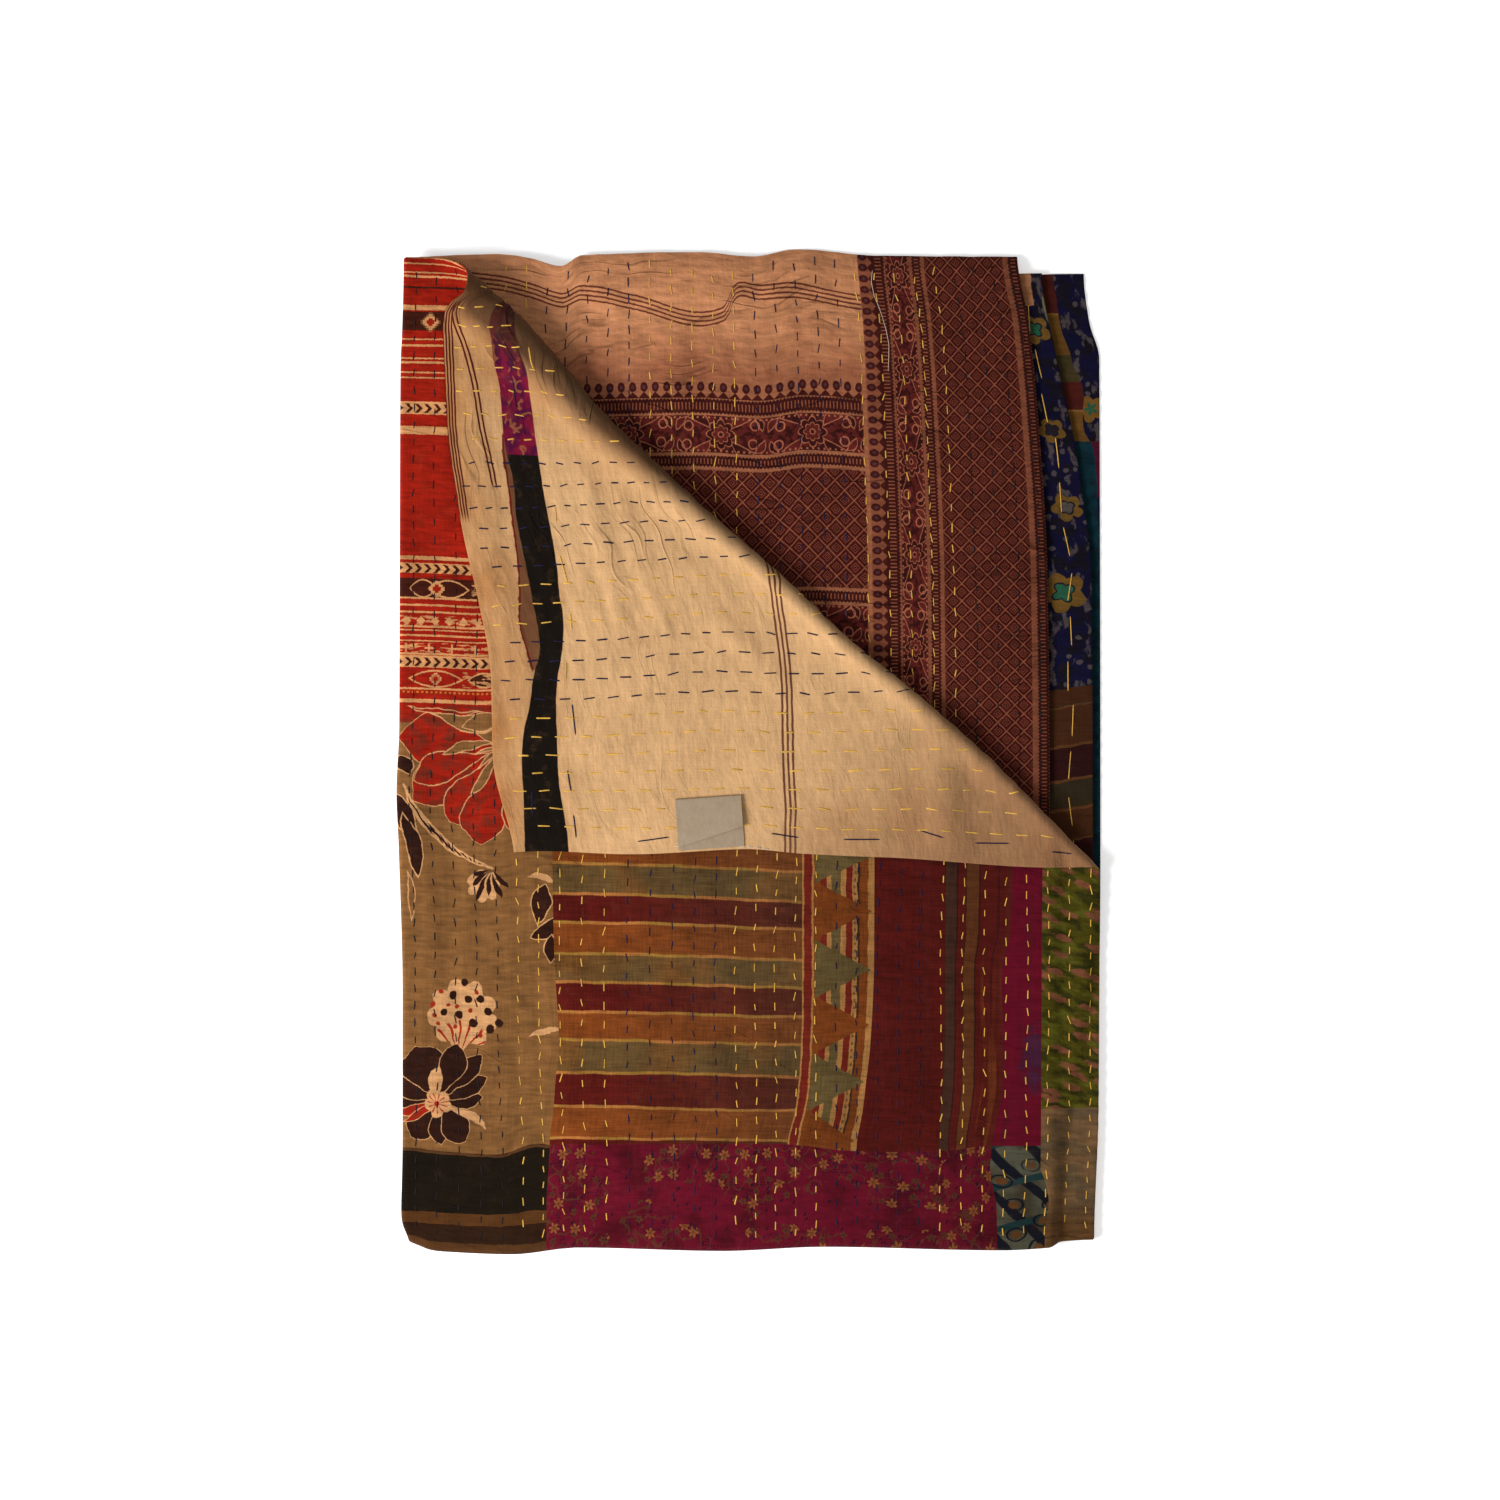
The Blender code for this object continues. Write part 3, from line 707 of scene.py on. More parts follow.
def thread_tubes(name, paths, outward, widths, shades, material):
    """Short threads as one mesh. paths is (threads, points, 3), outward the way out of the cloth
    there, widths the half width of each: each tube is an ellipse, carried along its path, a third
    less high than wide and narrower at its two ends."""
    threads, count = paths.shape[:2]
    tangent = np.gradient(paths, axis=1)
    sideways = np.cross(tangent, outward)
    sideways /= np.linalg.norm(sideways, axis=-1, keepdims=True)
    up = np.cross(sideways, tangent)
    up /= np.linalg.norm(up, axis=-1, keepdims=True)
    taper = np.ones(count)
    taper[[0, -1]] = 0.55
    size = (np.asarray(widths)[:, None] * taper)[:, :, None, None]
    angle = np.linspace(0, 2 * np.pi, TUBE_SIDES, endpoint=False)
    ring = np.cos(angle)[:, None] * sideways[:, :, None]
    ring = ring + 0.67 * np.sin(angle)[:, None] * up[:, :, None]
    points = (paths[:, :, None] + size * ring).reshape(-1, 3)

    index = np.arange(threads * count * TUBE_SIDES).reshape(threads, count, TUBE_SIDES)
    following = np.roll(index, -1, axis=2)
    wall = np.stack((index[:, :-1], following[:, :-1], following[:, 1:], index[:, 1:]), -1)
    ends = (index[:, 0, ::-1], index[:, -1])
    caps = [end[:, half] for end in ends for half in ([0, 1, 2, 3], [0, 3, 4, 5])]
    faces = np.concatenate([wall.reshape(-1, 4)] + caps)

    # Each thread has its own cell of the baked picture.
    cells = math.ceil(math.sqrt(threads))
    number = np.arange(threads)
    corner = np.stack((number % cells, number // cells), -1) / cells
    run = np.arange(count - 1) / (count + 1)
    turn = np.arange(TUBE_SIDES) / TUBE_SIDES
    place = np.zeros((threads, count - 1, TUBE_SIDES, 4, 2))
    place[..., 0] = turn[None, None, :, None] + np.array((0, 1, 1, 0)) / TUBE_SIDES
    place[..., 1] = run[None, :, None, None] + np.array((0, 0, 1, 1)) / (count + 1)
    place = (0.06 + 0.88 * place) / cells + corner[:, None, None, None]
    baked = [place.reshape(-1, 4, 2)]
    box = np.array(((0, 0), (1, 0), (1, 1), (0, 1))) * (0.2, 0.8 / (count + 1))
    for k in range(4):
        cap = box + (0.25 * k, count / (count + 1) - 0.06)
        baked.append((0.06 + 0.88 * cap) / cells + corner[:, None])
    maps = (("OFBake", np.concatenate(baked)),)
    shade = np.repeat(np.asarray(shades, float), count * TUBE_SIDES)
    return make_mesh(name, points, faces, [material], None, maps, (("thread", shade),))


def cloth_threads(outer, side_a, ends):
    """Paths of threads on the cloth, and the way out of it: ends is (threads, points, 2) of places
    in mm. The middle of a thread lies proud of the face and its two ends go into it."""
    across, along = ends[..., 0], ends[..., 1]
    a, b = nominal(across, np.abs(along), outer)
    b = np.where(along < 0, -b, b)
    front, back, normal = cloth_faces(a, b)
    face, out = (front, normal) if side_a else (back, -normal)
    count = ends.shape[1]
    share = np.array(RING_PLACES) if count == len(RING_PLACES) else np.linspace(0, 1, count)
    lift = (THREAD_PROUD + THREAD_DEPTH) * np.minimum(1, 9 * share * (1 - share)) - THREAD_DEPTH
    return face + out * (lift * MM)[None, :, None], out


def running_stitches(stitch, side_a, rows, keep, random, last=1):
    """Places of the stitches of these rows as (threads, points, 2), and each one's row: rows of
    dashes that follow the row's line, a little slanted, where keep says so. Towards the last row
    they grow longer and further apart, by the factor last."""
    row, number = np.meshgrid(np.array(rows), np.arange(-4, 80))
    row, number = row.ravel(), number.ravel().astype(float)
    offset = np.floor(stitch.offset[row])
    longer = np.interp(row, (14, 26), (1, last))
    phase = number * longer + offset + (0 if side_a else 0.5)
    length = random.uniform(*((6.2, 8.8) if side_a else (6.5, 9.5)), len(row))
    half = length * longer / 2 / stitch.pitch[row]
    from_middle = 2 * np.array(RING_PLACES) - 1
    rows_wide = np.repeat(row[:, None], len(RING_PLACES), 1)
    along = stitch.along_at(rows_wide, phase[:, None] + half[:, None] * from_middle)
    slant = random.normal(0, 0.55, len(row))[:, None] * from_middle
    ends = np.stack((stitch.across_at(rows_wide, along) + slant, along), -1)
    good = (along.min(1) > STITCHED[0]) & (along.max(1) < STITCHED[1]) & keep(*ends.mean(1).T)
    return ends[good], row[good]


THREAD_PITCH = 0.62  # spacing of the cloth's own threads, in mm


def linear(red, green, blue):
    """A colour given as it is displayed, 0 to 255, as the linear one that a shader takes."""
    shares = np.array((red, green, blue)) / 255
    curved = np.where(shares > 0.04045, ((shares + 0.055) / 1.055) ** 2.4, shares / 12.92)
    return tuple(float(x) for x in curved)


def rgba(colour):
    """A socket's colour for one given as it is displayed. One of four numbers stays as it is."""
    return colour if len(colour) == 4 else (*linear(*colour), 1)


def size_choice(name, description, shown, most, least=0):
    """A length that the user may change, given in mm."""
    return FloatProperty(
        name=name, description=description, subtype="DISTANCE", default=shown * MM,
        min=least * MM, max=most * MM,
    )


def colour_choice(name, description, *shown):
    """A colour that the user may change, given as it is displayed."""
    return FloatVectorProperty(
        name=name, description=description, subtype="COLOR", min=0, max=1, default=linear(*shown)
    )


class QuiltSizes(bpy.types.PropertyGroup):
    """Heights of the quilting, and the thickness of its thread."""

    ripple: size_choice("Ripple", "Half height of the ripples along a row of stitches", 0.5, 1.2)
    crumple: size_choice("Crumple", "Height of the crumples between the rows", 0.9, 1.5)
    swell: size_choice("Swell", "How much the cloth swells between rows, on each side", 0.3, 0.6)
    thread: size_choice("Thread", "Half width of the quilting thread", 0.48, 1, 0.2)


class QuiltColours(bpy.types.PropertyGroup):
    """Main colours of the cloths and the threads."""

    cotton: colour_choice("Cotton", "Plain cotton of the turned corner", 203, 160, 113)
    sari: colour_choice("Sari", "Field of the old sari", 190, 128, 88)
    red: colour_choice("Red", "Banded and flowered cloth at the left", 146, 26, 11)
    taupe: colour_choice("Taupe", "Ground under the large flowers", 120, 81, 44)
    mustard: colour_choice("Mustard", "Mustard of the stripes and the border", 120, 60, 22)
    sage: colour_choice("Sage", "Grey-green of the stripes", 94, 70, 38)
    brick: colour_choice("Brick", "Brick stripes and the plain brick patch", 84, 20, 15)
    crimson: colour_choice("Crimson", "Narrow crimson patch", 90, 8, 28)
    leaf: colour_choice("Leaf", "Leaf green patch", 68, 61, 11)
    magenta: colour_choice("Magenta", "Flowered cloth along the lower fold", 97, 13, 32)
    navy: colour_choice("Navy", "Navy print of the third layer", 14, 12, 40)
    label: colour_choice("Label", "Satin of the blank label", 156, 135, 110)
    yellow_thread: colour_choice("Yellow Thread", "Yellow quilting thread", 212, 164, 70)
    blue_thread: colour_choice("Blue Thread", "Blue quilting thread", 24, 20, 50)
    dark_thread: colour_choice("Dark Thread", "Near black quilting thread", 28, 20, 24)


def arithmetic(operation):
    """A method that joins a field with another one, or with a number, by a Math node."""
    return lambda self, other: self.apply(operation, other)


class Field:
    """A number that changes over the cloth. Arithmetic on it adds Math nodes to its tree."""

    def __init__(self, art, socket):
        self.art, self.socket = art, socket

    def apply(self, operation, *others, clamp=False):
        node = self.art.node("Math", (self, *others), operation=operation, use_clamp=clamp)
        return Field(self.art, node.outputs[0])

    __add__ = __radd__ = arithmetic("ADD")
    __sub__ = arithmetic("SUBTRACT")
    __mul__ = __rmul__ = arithmetic("MULTIPLY")
    __truediv__ = arithmetic("DIVIDE")
    least, most = arithmetic("MINIMUM"), arithmetic("MAXIMUM")
    wrapped = arithmetic("FLOORED_MODULO")  # 0 to a size, over and over

    def __rsub__(self, other):
        return self.apply("MULTIPLY_ADD", -1, other)

    def __abs__(self):
        return self.apply("ABSOLUTE")

    def from_nearest(self, size):
        """Distance from the nearest whole multiple of size."""
        return self.apply("PINGPONG", size / 2)

    def inside(self, soft=0.6):
        """1 where this distance is below 0, with an edge as wide as soft."""
        return self.apply("MULTIPLY_ADD", -1 / soft, 0.5, clamp=True)

    def outside(self, soft=0.6):
        return self.inside(-soft)

    def near(self, place, half, soft=0.6):
        """1 within half of a place."""
        return (abs(self - place) - half).inside(soft)

    def between(self, low, high, soft=0.6):
        return self.near((low + high) / 2, (high - low) / 2, soft)


def union(masks):
    """The largest of some masks at each place."""
    return functools.reduce(Field.most, masks)


class Art:
    """Draws in one node tree: fields in mm of cloth, and colours laid over each other."""

    def __init__(self, tree, cloth=None):
        self.tree, self.cloth = tree, cloth
        if cloth is not None:
            self.u, self.v = self.split(cloth)

    def wire(self, socket, value):
        """Puts a field, a node's output or a plain value into a socket."""
        if isinstance(value, Field):
            value = value.socket
        if isinstance(value, bpy.types.NodeSocket):
            self.tree.links.new(value, socket)
        elif socket.type == "VECTOR":
            socket.default_value = value[:3]
        elif socket.type == "RGBA":
            socket.default_value = rgba(value)
        else:
            socket.default_value = value

    def node(self, kind, values=(), **settings):
        """A new node with these settings, and values for its inputs in order or by name."""
        node = self.tree.nodes.new("ShaderNode" + kind)
        for title, setting in settings.items():
            setattr(node, title, setting)
        for key, value in values.items() if isinstance(values, dict) else enumerate(values):
            self.wire(node.inputs[key], value)
        return node

    def vector_math(self, operation, first, second=None, scale=None):
        given = {0: first, 1: second, "Scale": scale}
        given = {key: value for key, value in given.items() if value is not None}
        node = self.node("VectorMath", given, operation=operation)
        return node.outputs["Value" if operation in ("LENGTH", "DISTANCE") else "Vector"]

    def split(self, vector):
        return [Field(self, out) for out in self.node("SeparateXYZ", (vector,)).outputs[:2]]

    def join(self, x, y):
        return self.node("CombineXYZ", (x, y)).outputs[0]

    def mapped(self, vector, kind, place=(0, 0), turn=0, size=(1, 1)):
        """The vector in a frame that is moved, turned by degrees and sized."""
        given = (vector, (*place, 0), (0, 0, math.radians(turn)), (*size, 1))
        return self.node("Mapping", given, vector_type=kind).outputs[0]

    def local(self, place, turn=0, size=(1, 1)):
        return self.mapped(self.cloth, "TEXTURE", place, turn, size)

    def pattern_at(self, place, size, stretch=(1, 1), vector=None):
        """Where a pattern is read, for features of this size stretched by the factors."""
        vector = self.cloth if vector is None else vector
        return self.mapped(vector, "POINT", place, 0, [1 / size / factor for factor in stretch])

    def noise_node(self, at, detail, rough=0.5):
        given = {"Vector": at, "Scale": 1, "Detail": detail, "Roughness": rough}
        return self.node("TexNoise", given, noise_dimensions="2D")

    def noise(self, size, detail=2.0, stretch=(1, 1), seed=0, rough=0.5, vector=None):
        """Noise from about 0.25 to 0.75, its features of this size in mm and stretched."""
        at = self.pattern_at((17.3 * seed, 9.1 * seed), size, stretch, vector)
        return Field(self, self.noise_node(at, detail, rough).outputs[0])

    def warped(self, amount, size, seed=0):
        """The same tree on cloth that is pushed about by noise, by up to this amount in mm."""
        at = self.pattern_at((7.7 * seed + 3, 5.1 * seed), size)
        push = self.noise_node(at, 1).outputs["Color"]
        push = self.vector_math("SUBTRACT", push, (0.5, 0.5, 0.5))
        push = self.vector_math("SCALE", push, scale=2 * amount)
        return Art(self.tree, self.vector_math("ADD", self.cloth, push))

    def cells(self, size, random=1.0, stretch=(1, 1), seed=0, vector=None):
        """Scattered cells of this size: the place within a cell in mm, as a vector, and its three
        random numbers."""
        at = self.pattern_at((31.7 * seed, 13.9 * seed), size, stretch, vector)
        given = {"Vector": at, "Scale": 1, "Randomness": random}
        node = self.node("TexVoronoi", given, voronoi_dimensions="2D")
        away = self.vector_math("SUBTRACT", at, node.outputs["Position"])
        away = self.vector_math("MULTIPLY", away, (size * stretch[0], size * stretch[1], 0))
        chance = self.node("SeparateColor", (node.outputs["Color"],))
        return away, [Field(self, out) for out in chance.outputs]

    def mix(self, under, over, mask):
        """The colour over on the colour under, where the mask is 1. A Mix node's sockets for
        colours are its inputs 6 and 7 and its output 2."""
        return self.node("Mix", {0: mask, 6: under, 7: over}, data_type="RGBA").outputs[2]

    def lay(self, colour, *rows):
        """Lays more colours on a colour in turn, given as (over, mask)."""
        for over, mask in rows:
            colour = self.mix(colour, over, mask)
        return colour

    def shaded(self, colour, factor):
        """The colour, brighter or darker by a factor."""
        return self.vector_math("SCALE", colour, scale=factor)

    def stripes(self, field, low, high, ground, rows):
        """Stripes across a field from low to high: rows of (from, to, colour) on the ground."""
        node = self.node("ValToRGB", ((field - low) / (high - low),))
        node.color_ramp.interpolation = "CONSTANT"
        stops = [(low, ground)]
        for start, stop, colour in sorted(rows):
            if abs(stops[-1][0] - start) < 1e-6:
                stops.pop()
            stops += [(start, colour), (stop, ground)]
        elements = node.color_ramp.elements
        elements.remove(elements[1])
        for number, (place, colour) in enumerate(stops):
            share = (place - low) / (high - low)
            element = elements.new(share) if number else elements[0]
            element.position, element.color = share, rgba(colour)
        return node.outputs[0]

    def curve(self, field, rows):
        """A field through rows of (field, value), both in mm and up to 1000, by a Float Curve."""
        node = self.node("FloatCurve", {"Value": field / 1000})
        points = node.mapping.curves[0].points
        for number, (at, value) in enumerate(rows):
            if number < 2:
                points[number].location = (at / 1000, value / 1000)
            else:
                points.new(at / 1000, value / 1000)
        node.mapping.update()
        return Field(self, node.outputs[0]) * 1000

    def length(self, vector):
        return Field(self, self.vector_math("LENGTH", vector))

    def group(self, name, **values):
        return self.node("Group", values, node_tree=bpy.data.node_groups[name])

    def petals(self, colour, rows, edge=None, rim=1.2):
        """Lays petals on a colour, given as (place, turn, length, width, bend, skew, fill), with a
        rim of the edge colour."""
        for *shape, fill in rows:
            lens = self.petal(*shape)
            if edge is not None:
                colour = self.mix(colour, edge, lens.inside(0.5))
                lens = lens + rim
            colour = self.mix(colour, fill, lens.inside(0.5))
        return colour

    def petal(self, place, turn, length, width, bend, skew):
        """Distance from the edge of a petal that starts at a place: its half width is width times
        4 t (1 - t), t a power of the share of its length, about a line bent by the same curve."""
        node = self.group(
            "petal", Cloth=self.cloth, Place=(*place, 0), Turn=math.radians(turn),
            Length=length, Width=width, Bend=bend, Skew=skew,
        )
        return Field(self, node.outputs[0])

    def blossom(self, vector, radius, petals, depth=0.45, turn=0):
        """Distance from the edge of a flower of this many round petals about a vector's origin."""
        node = self.group(
            "blossom", Place=vector, Radius=radius, Petals=petals / 2, Depth=depth, Turn=turn
        )
        return Field(self, node.outputs[0])

    def dots(self, colour, places, radius, fill):
        """Lays round dots on a colour."""
        away = [self.vector_math("DISTANCE", self.cloth, (*place, 0)) for place in places]
        nearest = functools.reduce(Field.least, [Field(self, one) - radius for one in away])
        return self.mix(colour, fill, nearest.inside())


def shared_group(name, draw, outputs, **inputs):
    """A shader node group of what draw draws. Of its inputs, None stands for a vector and a tuple
    for a colour."""
    tree = bpy.data.node_groups.new(name, "ShaderNodeTree")

    def add(title, way, kind):
        return tree.interface.new_socket(name=title, in_out=way, socket_type="NodeSocket" + kind)

    for title, value in inputs.items():
        if value is None:
            add(title, "INPUT", "Vector")
        else:
            kind = "Color" if isinstance(value, tuple) else "Float"
            add(title, "INPUT", kind).default_value = value
    for title in outputs:
        add(title, "OUTPUT", "Color" if title == "Colour" else "Float")
    source, sink = tree.nodes.new("NodeGroupInput"), tree.nodes.new("NodeGroupOutput")
    art = Art(tree, source.outputs[0])
    given = {
        out.name.lower(): Field(art, out) if out.type == "VALUE" else out
        for out in source.outputs if out.name
    }
    for socket, value in zip(sink.inputs, draw(art, SimpleNamespace(**given))):
        art.wire(socket, value)


def draw_petal(art, given):
    moved = art.vector_math("SUBTRACT", given.cloth, given.place)
    turned = art.node(
        "VectorRotate", {"Vector": moved, "Angle": given.turn * -1}, rotation_type="Z_AXIS"
    )
    x, y = art.split(turned.outputs[0])
    skewed = (x / given.length).most(0).apply("POWER", given.skew)
    arch = (skewed * (1 - skewed) * 4).most(0)
    aside = abs(y - given.bend * arch) - given.width * arch
    past_tip = (abs(x / given.length - 0.5) - 0.5) * given.length
    return [aside.most(past_tip)]


def draw_blossom(art, given):
    x, y = art.split(given.place)
    angle = y.apply("ARCTAN2", x) + given.turn
    lobe = abs((angle * given.petals).apply("COSINE"))
    return [art.length(given.place) - given.radius * (1 - given.depth * (1 - lobe))]


def draw_age_and_painted_shade(art, given):
    """Uneven dye, wear and painted shade: broad clouds, streaks along both sets of threads, fine
    grain and the painted shade of the puckers and creases multiply the colour; worn places go
    towards the worn colour."""
    clouds = art.noise(46, 3, seed=1) - 0.5
    streak_u = art.noise(1.3, 2, (18, 1), seed=2) - 0.5
    streak_v = art.noise(1.5, 2, (1, 14), seed=3) - 0.5
    grain = art.noise(1.0, 1, seed=4) - 0.5
    # Painted shade of the puckers and creases, with the dye's clouds, streaks and grain.
    factor = given.dirt + given.clouds * clouds + given.slub * (streak_u + streak_v)
    factor = factor + given.grain * grain
    worn = (art.noise(17, 4, seed=5, rough=0.7) - 0.56) * 3.2
    return [art.shaded(art.mix(given.colour, given.worn, worn.most(0) * given.wear), factor)]


def draw_relief(art, given):
    """Height in mm: puckers across the rows of stitches, soft crumples, long thin pinched creases
    where a slow noise is near its middle, and the two sets of threads as crossing waves whose
    thickness wanders. Painted shade is about 1: more on the puckers' ridges, less in their hollows
    and in a thin line beside each pinched crease."""
    pucker = art.noise(4.2, 2, (4.6, 1), seed=6, rough=0.45) - 0.5
    crease = abs(art.noise(15, 3, (1.7, 1), seed=7, rough=0.55) - 0.5)
    slanted = art.warped(15, 64, seed=13)
    slanted = art.mapped(slanted.cloth, "POINT", turn=8)
    pinch = art.noise(16, 1.2, (7, 1), seed=11, vector=slanted) - 0.5
    some = (art.noise(46, 1, (1.8, 1), seed=12) - 0.5).apply("MULTIPLY", 8, clamp=True)
    some = some * given.pinch
    pinched = (1 - abs(pinch) * 22).most(0) * some
    # Painted shade: a thin dark line just beside each pinched crease.
    beside = (1 - abs(pinch + 0.035) * 24).most(0) * some
    thick = 0.6 + art.noise(6, 1, seed=8)
    turns = 2 * math.pi / THREAD_PITCH
    waves = (art.u * turns).apply("SINE") + (art.v * turns).apply("SINE")
    slub = art.noise(1.2, 1, (10, 1), seed=9) + art.noise(1.2, 1, (1, 10), seed=10)
    height = pucker * given.pucker - crease * given.crease + pinched
    height = height + waves * thick * given.weave + slub * given.slub
    # The second output is painted shade: lighter on pucker ridges, darker in hollows and by
    # creases.
    return [height, 1 + pucker * given.pucker * 0.7 - beside * 0.32]


def make_groups():
    """The node groups that the cloths share."""
    shared_group(
        "petal", draw_petal, ["Distance"],
        Cloth=None, Place=None, Turn=0, Length=20, Width=5, Bend=0, Skew=1,
    )
    shared_group(
        "blossom", draw_blossom, ["Distance"], Place=None, Radius=7, Petals=2.5, Depth=0.45, Turn=0
    )
    shared_group(
        "dye_and_painted_shade", draw_age_and_painted_shade, ["Colour"], Cloth=None, Colour=(0.5, 0.5, 0.5, 1),
        Worn=(0.3, 0.2, 0.12, 1), Dirt=1, Clouds=0.3, Slub=0.3, Grain=0.3, Wear=0.2,
    )
    shared_group(
        "woven_relief", draw_relief, ["Height", "Dirt"],
        Cloth=None, Pucker=0.6, Crease=0.8, Pinch=0.4, Weave=0.03, Slub=0.05,
    )


def new_material(name, on_cloth=False):
    """A material and its drawing in mm: of the cloth, by the piece's own UV map, or in Object
    coordinates."""
    material = bpy.data.materials.new(name)
    material.use_nodes = True
    bare = Art(material.node_tree)
    if on_cloth:
        place = bare.node("UVMap", uv_map="cloth").outputs[0]
    else:
        place = bare.node("TexCoord").outputs["Object"]
    return material, Art(bare.tree, bare.vector_math("SCALE", place, scale=1 / MM))


def finish(art, colour, height=None, **values):
    """Gives the shader its colour, the bump of a height in mm, and its own plain values."""
    shader = art.tree.nodes["Principled BSDF"]
    art.wire(shader.inputs["Base Color"], colour)
    if height is not None:
        bump = art.node("Bump", {"Strength": 1, "Distance": MM, "Height": height})
        art.wire(shader.inputs["Normal"], bump.outputs[0])
    for title, value in values.items():
        shader.inputs[title.replace("_", " ")].default_value = value


def cloth_material(
    name, draw, worn, clouds=0.5, slub=0.35, wear=0.25, pucker=0.7, crease=1.0, pinch=0.3
):
    """A cotton cloth: draw gives its pattern's colour, and the shared groups its uneven dye, the
    painted shade of its puckers and creases, and the relief of its puckers and threads. pinch may
    be drawn too."""
    material, art = new_material(name, True)
    relief = art.group(
        "woven_relief", Cloth=art.cloth, Pucker=pucker, Crease=crease, Weave=0.02, Slub=0.04,
        Pinch=pinch(art) if callable(pinch) else pinch,
    )
    aged_and_shaded = art.group(
        "dye_and_painted_shade", Cloth=art.cloth, Colour=draw(art), Worn=worn, Dirt=relief.outputs["Dirt"],
        Clouds=clouds, Slub=slub, Grain=0.25, Wear=wear,
    )
    finish(art, aged_and_shaded.outputs[0], relief.outputs["Height"], Roughness=0.95, Specular_IOR_Level=0.08)
    return material


def chosen(name):
    """One of the colours that the user may change."""
    return (*getattr(bpy.context.scene.kantha_colours, name), 1)


def draw_red_bands(art):
    """Woven red ground with cream lines, rows of chevrons and stepped lens motifs."""
    rough = art.warped(0.55, 2.6, seed=4)
    u, w = rough.u, rough.v + (rough.u - 37) * 0.025
    red, cream, brown = chosen("red"), (196, 138, 88), (60, 22, 12)
    thin = (889.5, 884.1, 876, 872.4, 814.8, 809.4, 797.7, 794.1, 785.1, 780.6)
    upper = [(v - 0.8, v + 0.8, cream) for v in thin]
    upper += [(841.8, 846.3, cream), (823, 840, brown), (861.5, 863.6, brown), (748, 759, cream)]
    upper += [(730.2, 737.4, cream)]
    thin = (583.6, 577.2, 571.4, 558.2, 555, 550.2, 545.4, 533.6, 502.6)
    lower = [(v - 0.8, v + 0.8, cream) for v in thin]
    lower += [(617.7, 621.3, cream), (606, 615, cream), (521.4, 532.2, cream)]
    lower += [(489.9, 493.5, cream), (584.6, 601.5, brown)]
    low_part = art.stripes(w, 480, 625, red, lower)
    colour = art.mix(low_part, art.stripes(w, 725, 895, red, upper), (w - 660).outside(1))
    rises = [abs(w - middle) for middle in (753.5, 610.5, 526.8)]
    chevrons = union(
        ((u + rise).wrapped(8.6) - 3.6).inside(0.8) * (rise - 4).inside(0.8) for rise in rises
    )
    colour = art.mix(colour, brown, chevrons)
    colour = Art(art.tree, rough.join(u, w)).petals(colour, (
        ((9, 592.6), 0, 25, 8.5, 0, 1, brown), ((26, 592.6), 0, 38, 8.5, 0, 1, brown),
        ((8, 511.9), 0, 50, 8, 0, 1, red), ((62, 511.9), 0, 30, 7, 0, 1, brown),
    ), cream, 1.5)
    for x, y, size in (
        (34, 592.6, 6.5), (26.8, 831, 7), (33, 511.9, 4.5), (80, 592.6, 6), (78, 831, 6),
    ):
        steps = abs(u - x).apply("SNAP", 1.8) + abs(w - y).apply("SNAP", 1.8)
        colour = art.lay(
            colour, (cream, (steps - size).inside(0.8)), (red, (steps - size * 0.42).inside(0.8))
        )
    small = (abs(u.wrapped(13) - 6.5) + abs(w - 563.7) - 4.2).inside(0.8)
    arm, other = abs((u + 4).wrapped(21) - 10), abs(w - 539.4)
    cross = (arm.least(other) - 0.8).inside() * (arm.most(other) - 4).inside()
    streaks = (rough.noise(4.6, 2, (2.4, 0.55), seed=44) - 0.53).apply("MULTIPLY", 16, clamp=True)
    tied = w.near(563.7, 4.6, 0.8).most(w.near(539.4, 4.4, 0.8))
    tied = tied.most(w.near(511.9, 7, 0.8) * (u - 58).outside(2))
    tied = tied.most(w.near(592.6, 7, 0.8) * (u - 66).outside(2))
    dots = (u.from_nearest(4.2) - 1).inside(0.5) * w.near(499.8, 0.9, 0.5)
    return art.lay(
        colour, (cream, small.most(cross)), (cream, streaks * tied * 0.85), ((190, 110, 45), dots)
    )


def rays(art, middle, count, level, soft, reach, edge):
    """Lines that run out from a middle, up to its reach."""
    x, y = art.split(middle)
    spread = (y.apply("ARCTAN2", x) * count).apply("SINE")
    return (spread - level).outside(soft) * (art.length(middle) - reach).inside(edge)


